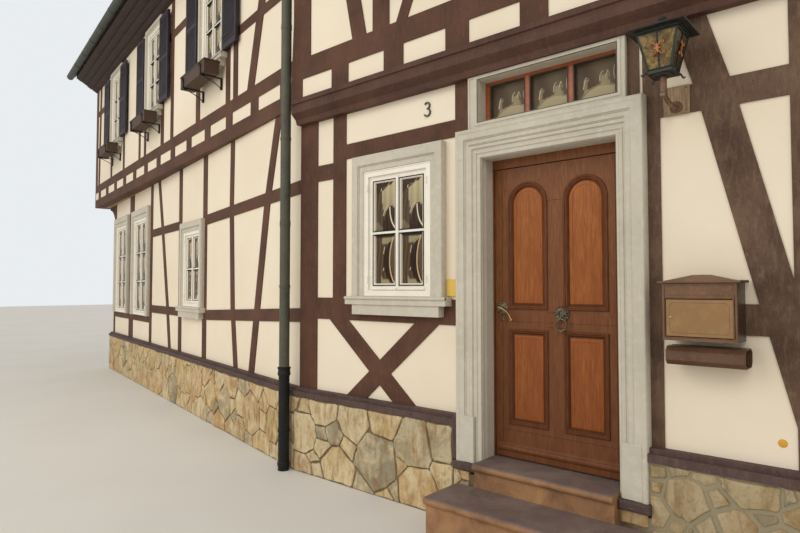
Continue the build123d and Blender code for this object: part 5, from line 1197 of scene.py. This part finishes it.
# Keyhole: a flat dark disc and slot, painted shade standing in for the hole
keyhole = Soup()
keyhole.lathe((HANDLE_X, 0.1302, HANDLE_Z - 0.083), TO_STREET, [(0.0042, 0), (0.0042, 0.0006)], 12)
keyhole.box(street_face, HANDLE_X - 0.0018, HANDLE_X + 0.0018, HANDLE_Z - 0.097, HANDLE_Z - 0.085, -0.1302,
            -0.1296)
keyhole.make("keyhole", "dark_inside", "door", slot="brass")
lever = Soup()
lever.tube([(HANDLE_X, 0.1325, HANDLE_Z), (HANDLE_X, 0.10, HANDLE_Z), (HANDLE_X, 0.088, HANDLE_Z + 0.0005)],
           [0.0098, 0.0098, 0.0125], 14)
ROUTE = ((-0.012, 0.008), (0.0, 0.006), (0.02, 0.001), (0.045, -0.012), (0.068, -0.028), (0.085, -0.047),
         (0.096, -0.066), (0.104, -0.083))
lever.tube([(HANDLE_X + dx, 0.083, HANDLE_Z + dz) for dx, dz in ROUTE],
           [0.010, 0.0135, 0.0125, 0.0098, 0.0092, 0.0098, 0.0108, 0.0115], 12, flat=0.8)
lever.lathe((HANDLE_X + 0.105, 0.0955, HANDLE_Z - 0.085), TO_STREET,
            [(0.008, 0), (0.0125, 0.003), (0.0125, 0.021), (0.008, 0.024)], 14)
lever.make("door_lever", "brass", "handle", slot="brass", replaces=("door_handle",))


# Lantern: centre bars, curled star, ball, tray with curled feet, bulb, screws
LANTERN_X, LANTERN_OFF, LANTERN_FOOT, LANTERN_TOP, LOW, HIGH = 3.5, 0.25, 2.96, 3.2, 0.13, 0.23
lamp, star, inside = Soup(), Soup(), Soup()
centre = Vector((LANTERN_X, -LANTERN_OFF, 0))
for way in ((0, -1), (1, 0), (0, 1), (-1, 0)):
    out, along = Vector((*way, 0)), Vector((-way[1], way[0], 0))
    lean = (HIGH - LOW) / 2 / (LANTERN_TOP - LANTERN_FOOT)

    def on_side(u, z, d):
        return centre + along * u + out * (LOW / 2 + lean * (z - LANTERN_FOOT) + d) + UP * z

    foot_z, top_z = LANTERN_FOOT + 0.006, LANTERN_TOP - 0.004
    lamp.tube([on_side(0, foot_z, -0.001), on_side(0, top_z, -0.001)], 0.0045, 6)
    for z in (LANTERN_FOOT + 0.022, LANTERN_TOP - 0.020):
        half = LOW / 2 + lean * (z - LANTERN_FOOT) - 0.004
        lamp.tube([on_side(-half, z, 0.0), on_side(half, z, 0.0)], 0.0042, 6)
    mid_z = LANTERN_FOOT + 0.128
    reach = 1.0 if way[0] == 0 else 0.8
    shape = ((0.003, 0.008), (0.009, 0.020), (0.020, 0.032), (0.031, 0.035), (0.037, 0.029), (0.034, 0.022),
             (0.027, 0.023), (0.026, 0.028))
    for turn in (-1, 1):
        for rise_way in (-1, 1):
            curl = [on_side(turn * u * reach, mid_z + rise_way * h, 0.0085) for u, h in shape]
            star.tube(curl, [0.0026, 0.0032, 0.0036, 0.0036, 0.0033, 0.003, 0.0028, 0.003], 6)
    tips = ((0, 0.030), (0.005, 0.005), (0.020, 0), (0.005, -0.005), (0, -0.030), (-0.005, -0.005),
            (-0.020, 0), (-0.005, 0.005))
    star.stack([[on_side(u * reach, mid_z + h, d) for u, h in tips] for d in (0.004, 0.0095)])
    corner = centre + (out + along) * (LOW / 2 + 0.004)
    diagonal = (out + along).normalized()
    foot_curl = [corner + UP * (LANTERN_FOOT + 0.012 - 0.026 * t) + diagonal * (0.022 * t ** 0.7)
                 for t in (0, 0.35, 0.7, 1)]
    foot_curl += [foot_curl[-1] + diagonal * 0.008 + UP * 0.004,
                  foot_curl[-1] + diagonal * 0.009 + UP * 0.012]
    lamp.tube(foot_curl, [0.006, 0.0055, 0.005, 0.0045, 0.004, 0.003], 6)
    edge_half = 0.155
    lamp.tube([centre + out * edge_half + along * edge_half + UP * (LANTERN_TOP + 0.003),
               centre + out * edge_half - along * edge_half + UP * (LANTERN_TOP + 0.003)], 0.0045, 6)
lamp.lathe(centre + UP * (LANTERN_TOP + 0.064), UP, [(0.012, 0.0), (0.020, 0.008), (0.0235, 0.018),
                                                     (0.020, 0.028), (0.009, 0.0355), (0.003, 0.038)], 16)
lamp.lathe(centre + UP * (LANTERN_FOOT - 0.012), UP, [(0.03, 0), (0.052, 0.004), (0.056, 0.012)], 20)
lamp.make("lantern_trim", "lamp_paint", slot="lantern_paint")
star.make("lantern_stars", "copper", slot="lantern_paint")
inside.lathe(centre + UP * (LANTERN_FOOT + 0.018), UP, [(0.018, 0), (0.018, 0.045), (0.024, 0.062),
                                                        (0.03, 0.085), (0.026, 0.108), (0.012, 0.122),
                                                        (0.003, 0.126)], 18)
inside.make("lantern_bulb", "white_paint", slot="window_glass")
arm = Soup()
arm.lathe(centre + UP * (LANTERN_FOOT - 0.13), UP, [(0.010, 0.0), (0.0165, 0.006), (0.0165, 0.014),
                                                    (0.012, 0.022), (0.0185, 0.03), (0.0185, 0.118)], 16)
arm.tube([(LANTERN_X, -0.012, 2.83), (LANTERN_X, -0.1, 2.822), (LANTERN_X, -0.175, 2.83),
          (LANTERN_X, -0.225, 2.848), (LANTERN_X, -0.25, 2.872)], [0.019, 0.0135, 0.0135, 0.0135, 0.014], 12)
arm.lathe((LANTERN_X, -0.011, 2.83), TO_STREET, [(0.036, 0), (0.038, 0.003), (0.030, 0.010), (0.022, 0.018)],
          20)
arm.make("lantern_stem", "lamp_stem", slot="lantern_paint")
plate = Soup()
plate.box(street_face, 3.426, 3.574, 2.788, 2.958, 0.002, 0.0145, 0.004)
plate.make("lantern_plate", "weathered_plate", slot="lantern_paint")
screws = Soup()
for u in (3.442, 3.558):
    for z in (2.806, 2.940):
        screws.lathe((u, -0.0143, z), TO_STREET, [(0.0055, 0), (0.0055, 0.0015), (0.003, 0.0028)], 10)

# Letter box: rounded front frame, raised strip, notched line and lock on the flap, and the lid's rim
BOX_LEFT, BOX_RIGHT, LETTER_FOOT, LETTER_TOP, LETTER_DEPTH = 3.46, 3.84, 1.459, 1.779, 0.2
letter = Soup()
d = LETTER_DEPTH
mould(letter, street_face, rect_path(BOX_LEFT, BOX_RIGHT, LETTER_FOOT, LETTER_TOP - 0.002),
      [(-0.001, d - 0.006), (-0.001, d + 0.001), (0.002, d + 0.004), (0.010, d + 0.004),
       (0.0125, d + 0.0005)])
letter.box(street_face, BOX_LEFT + 0.013, BOX_RIGHT - 0.013, 1.694, 1.706, d, d + 0.0045, 0.002, back=False)
letter.box(street_face, BOX_LEFT + 0.022, BOX_RIGHT - 0.022, 1.713, 1.768, d - 0.0005, d + 0.0015, 0.0008,
           back=False)
letter.box(street_face, BOX_LEFT - 0.002, BOX_RIGHT + 0.002, LETTER_FOOT - 0.004, LETTER_FOOT + 0.004, 0.004,
           d + 0.003, 0)
letter.make("letter_box_frame", "bronze_paint", slot="bronze_paint")
flap, flap_line = Soup(), Soup()
FLAP_LEFT, FLAP_RIGHT, FLAP_FOOT, FLAP_TOP = BOX_LEFT + 0.02, BOX_RIGHT - 0.02, 1.48, 1.685
LINE_IN, NOTCH, PLAY = 0.018, 0.016, 0.0002
s0, s1, z0, z1 = FLAP_LEFT + LINE_IN, FLAP_RIGHT - LINE_IN, FLAP_FOOT + LINE_IN, FLAP_TOP - LINE_IN
notched = [(s0 + NOTCH, z0), (s1 - NOTCH, z0), (s1, z0 + NOTCH), (s1, z1 - NOTCH),
           (s1 - NOTCH, z1), (s0 + NOTCH, z1), (s0, z1 - NOTCH), (s0, z0 + NOTCH)]
mould(flap_line, street_face, notched,
      [(-0.0012, d + 0.0021), (-0.0008, d + 0.0028), (0.0008, d + 0.0028), (0.0012, d + 0.0021)])
flap_line.make("flap_line", "dark_bronze", "letter_door", slot="bronze_paint")
flap.box(street_face, FLAP_LEFT - PLAY, FLAP_RIGHT + PLAY, FLAP_FOOT - PLAY, FLAP_TOP + PLAY, d + 0.0015,
         d + 0.0023, 0.0007, back=False)
flap.make("flap_face", "gold_paint", "letter_door", slot="bronze_paint")
lock = Soup()
lock.lathe((FLAP_LEFT + 0.022, -d - 0.0022, 1.584), TO_STREET,
           [(0.0085, 0), (0.0085, 0.002), (0.006, 0.0035), (0.0035, 0.0035)], 16)
lock.make("flap_lock", "brass", "letter_door", slot="brass")
lid = Soup()
lid_corners = rect_path(BOX_LEFT - 0.0205, BOX_RIGHT + 0.0205, 0.0055, d + 0.0245)
for low_z, high_z, grow in ((1.7794, 1.7865, 0.0), (1.7865, 1.789, -0.003)):
    rings = []
    for z in (low_z, high_z):
        rings.append([Vector((s + (grow if s > 3.6 else -grow), -y + (-grow if y > 0.1 else grow), z))
                      for s, y in lid_corners])
    lid.stack(rings)
lid.lathe((3.65, -0.115, 1.8225), UP, [(0.012, 0), (0.012, 0.0016), (0.004, 0.003)], 10)
lid.make("letter_lid_rim", "bronze_paint", "letter_lid", slot="bronze_paint")
tube_trim = Soup()
tube_trim.box(street_face, 3.473, 3.865, 1.344, 1.386, 0.1855, 0.1872, 0.0008, back=False)
tube_trim.make("newspaper_strip", "tube_paint", slot="bronze_paint")

# House number, bare yellow plate and round disc
number = Soup()
NUMBER_X, NUMBER_Z = 1.591, 3.2055
for bow in (arc(NUMBER_X - 0.002, NUMBER_Z + 0.030, 0.0255, 150, -90, 16),
            arc(NUMBER_X - 0.002, NUMBER_Z - 0.0255, 0.030, 90, -150, 18)):
    number.tube([street_face.at(s, z, -0.004) for s, z in bow], 0.012, 8, flat=0.55)
number.make("house_number", "number_grey", slot="black_iron")
sign = Soup()
sign.box(street_face, 1.786, 1.89, 1.684, 1.818, -0.012, 0.004, 0.0015)
sign.make("bare_plate", "yellow_plate", slot="bronze_paint")
disc = Soup()
disc.lathe((4.0, 0.0112, 0.92), TO_STREET, [(0.0225, 0), (0.0225, 0.003), (0.0195, 0.0045)], 24)
disc.make("round_disc", "orange_disc", slot="bronze_paint")
for u, z in ((1.80, 1.69), (1.88, 1.69), (1.80, 1.812), (1.88, 1.812)):
    screws.lathe((u, -0.0038, z), TO_STREET, [(0.0032, 0), (0.0032, 0.0008), (0.0015, 0.0014)], 8)
screws.make("screws", "dark_bronze", slot="black_iron")


# Floor, light and camera
def stage_plane(name, corners, color):
    mesh = bpy.data.meshes.new(name)
    mesh.from_pydata(corners, [], [(0, 1, 2, 3)])
    floor = Look(name, color, 0.9)
    floor.paint(floor.mix(floor.span(floor.noise(0.6, 3, 0.5), 0.4, 0.6), color, "dfdcd6"))
    mesh.materials.append(floor.mat)
    place(name, mesh)


stage_plane("floor", [(-60, -60, 0), (60, -60, 0), (60, 60, 0), (-60, 60, 0)], "e2dfd9")

world = bpy.data.worlds.new("pale_sky")
bpy.context.scene.world = world
world.use_nodes = True
tree = world.node_tree
tree.nodes.clear()
out = tree.nodes.new("ShaderNodeOutputWorld")
shown, lit = tree.nodes.new("ShaderNodeBackground"), tree.nodes.new("ShaderNodeBackground")
shown.inputs["Color"].default_value = lin("e9edf0")
lit.inputs["Color"].default_value = lin("fffdf8")
lit.inputs["Strength"].default_value = 0.7
paths = tree.nodes.new("ShaderNodeLightPath")
mixer = tree.nodes.new("ShaderNodeMixShader")
tree.links.new(paths.outputs["Is Camera Ray"], mixer.inputs[0])
tree.links.new(lit.outputs[0], mixer.inputs[1])
tree.links.new(shown.outputs[0], mixer.inputs[2])
tree.links.new(mixer.outputs[0], out.inputs["Surface"])

lamp_data = bpy.data.lights.new("key", "SUN")
lamp_data.energy = 0.45
lamp_data.angle = radians(28)
lamp_data.color = (1.0, 0.97, 0.92)
key = place("key", lamp_data)
key.rotation_euler = Vector((0.35, -0.75, 0.62)).to_track_quat("Z", "Y").to_euler()

soft_data = bpy.data.lights.new("street_side", "AREA")
soft_data.energy, soft_data.size, soft_data.color = 420, 9.0, (1.0, 0.975, 0.94)
soft = place("street_side", soft_data)
soft.location = (-3.5, -11.0, 7.5)
soft.rotation_euler = Vector((-4.5, -11.0, 5.5)).to_track_quat("Z", "Y").to_euler()
soft.visible_camera = False

FOCAL_PIXELS, PHOTO_WIDTH, SENSOR = 590, 800, 36
camera_data = bpy.data.cameras.new("camera")
camera_data.sensor_width = SENSOR
camera_data.lens = FOCAL_PIXELS / PHOTO_WIDTH * SENSOR
camera_data.clip_end = 200
camera = place("camera", camera_data)
pitch_up = radians(2.087)
forward = Vector((-0.6556 * cos(pitch_up), 0.7551 * cos(pitch_up), sin(pitch_up)))
camera.location = (4.543, -3.737, 1.75)
camera.rotation_euler = forward.to_track_quat("-Z", "Y").to_euler()
bpy.context.scene.camera = camera
bpy.context.scene.view_settings.view_transform = "Standard"
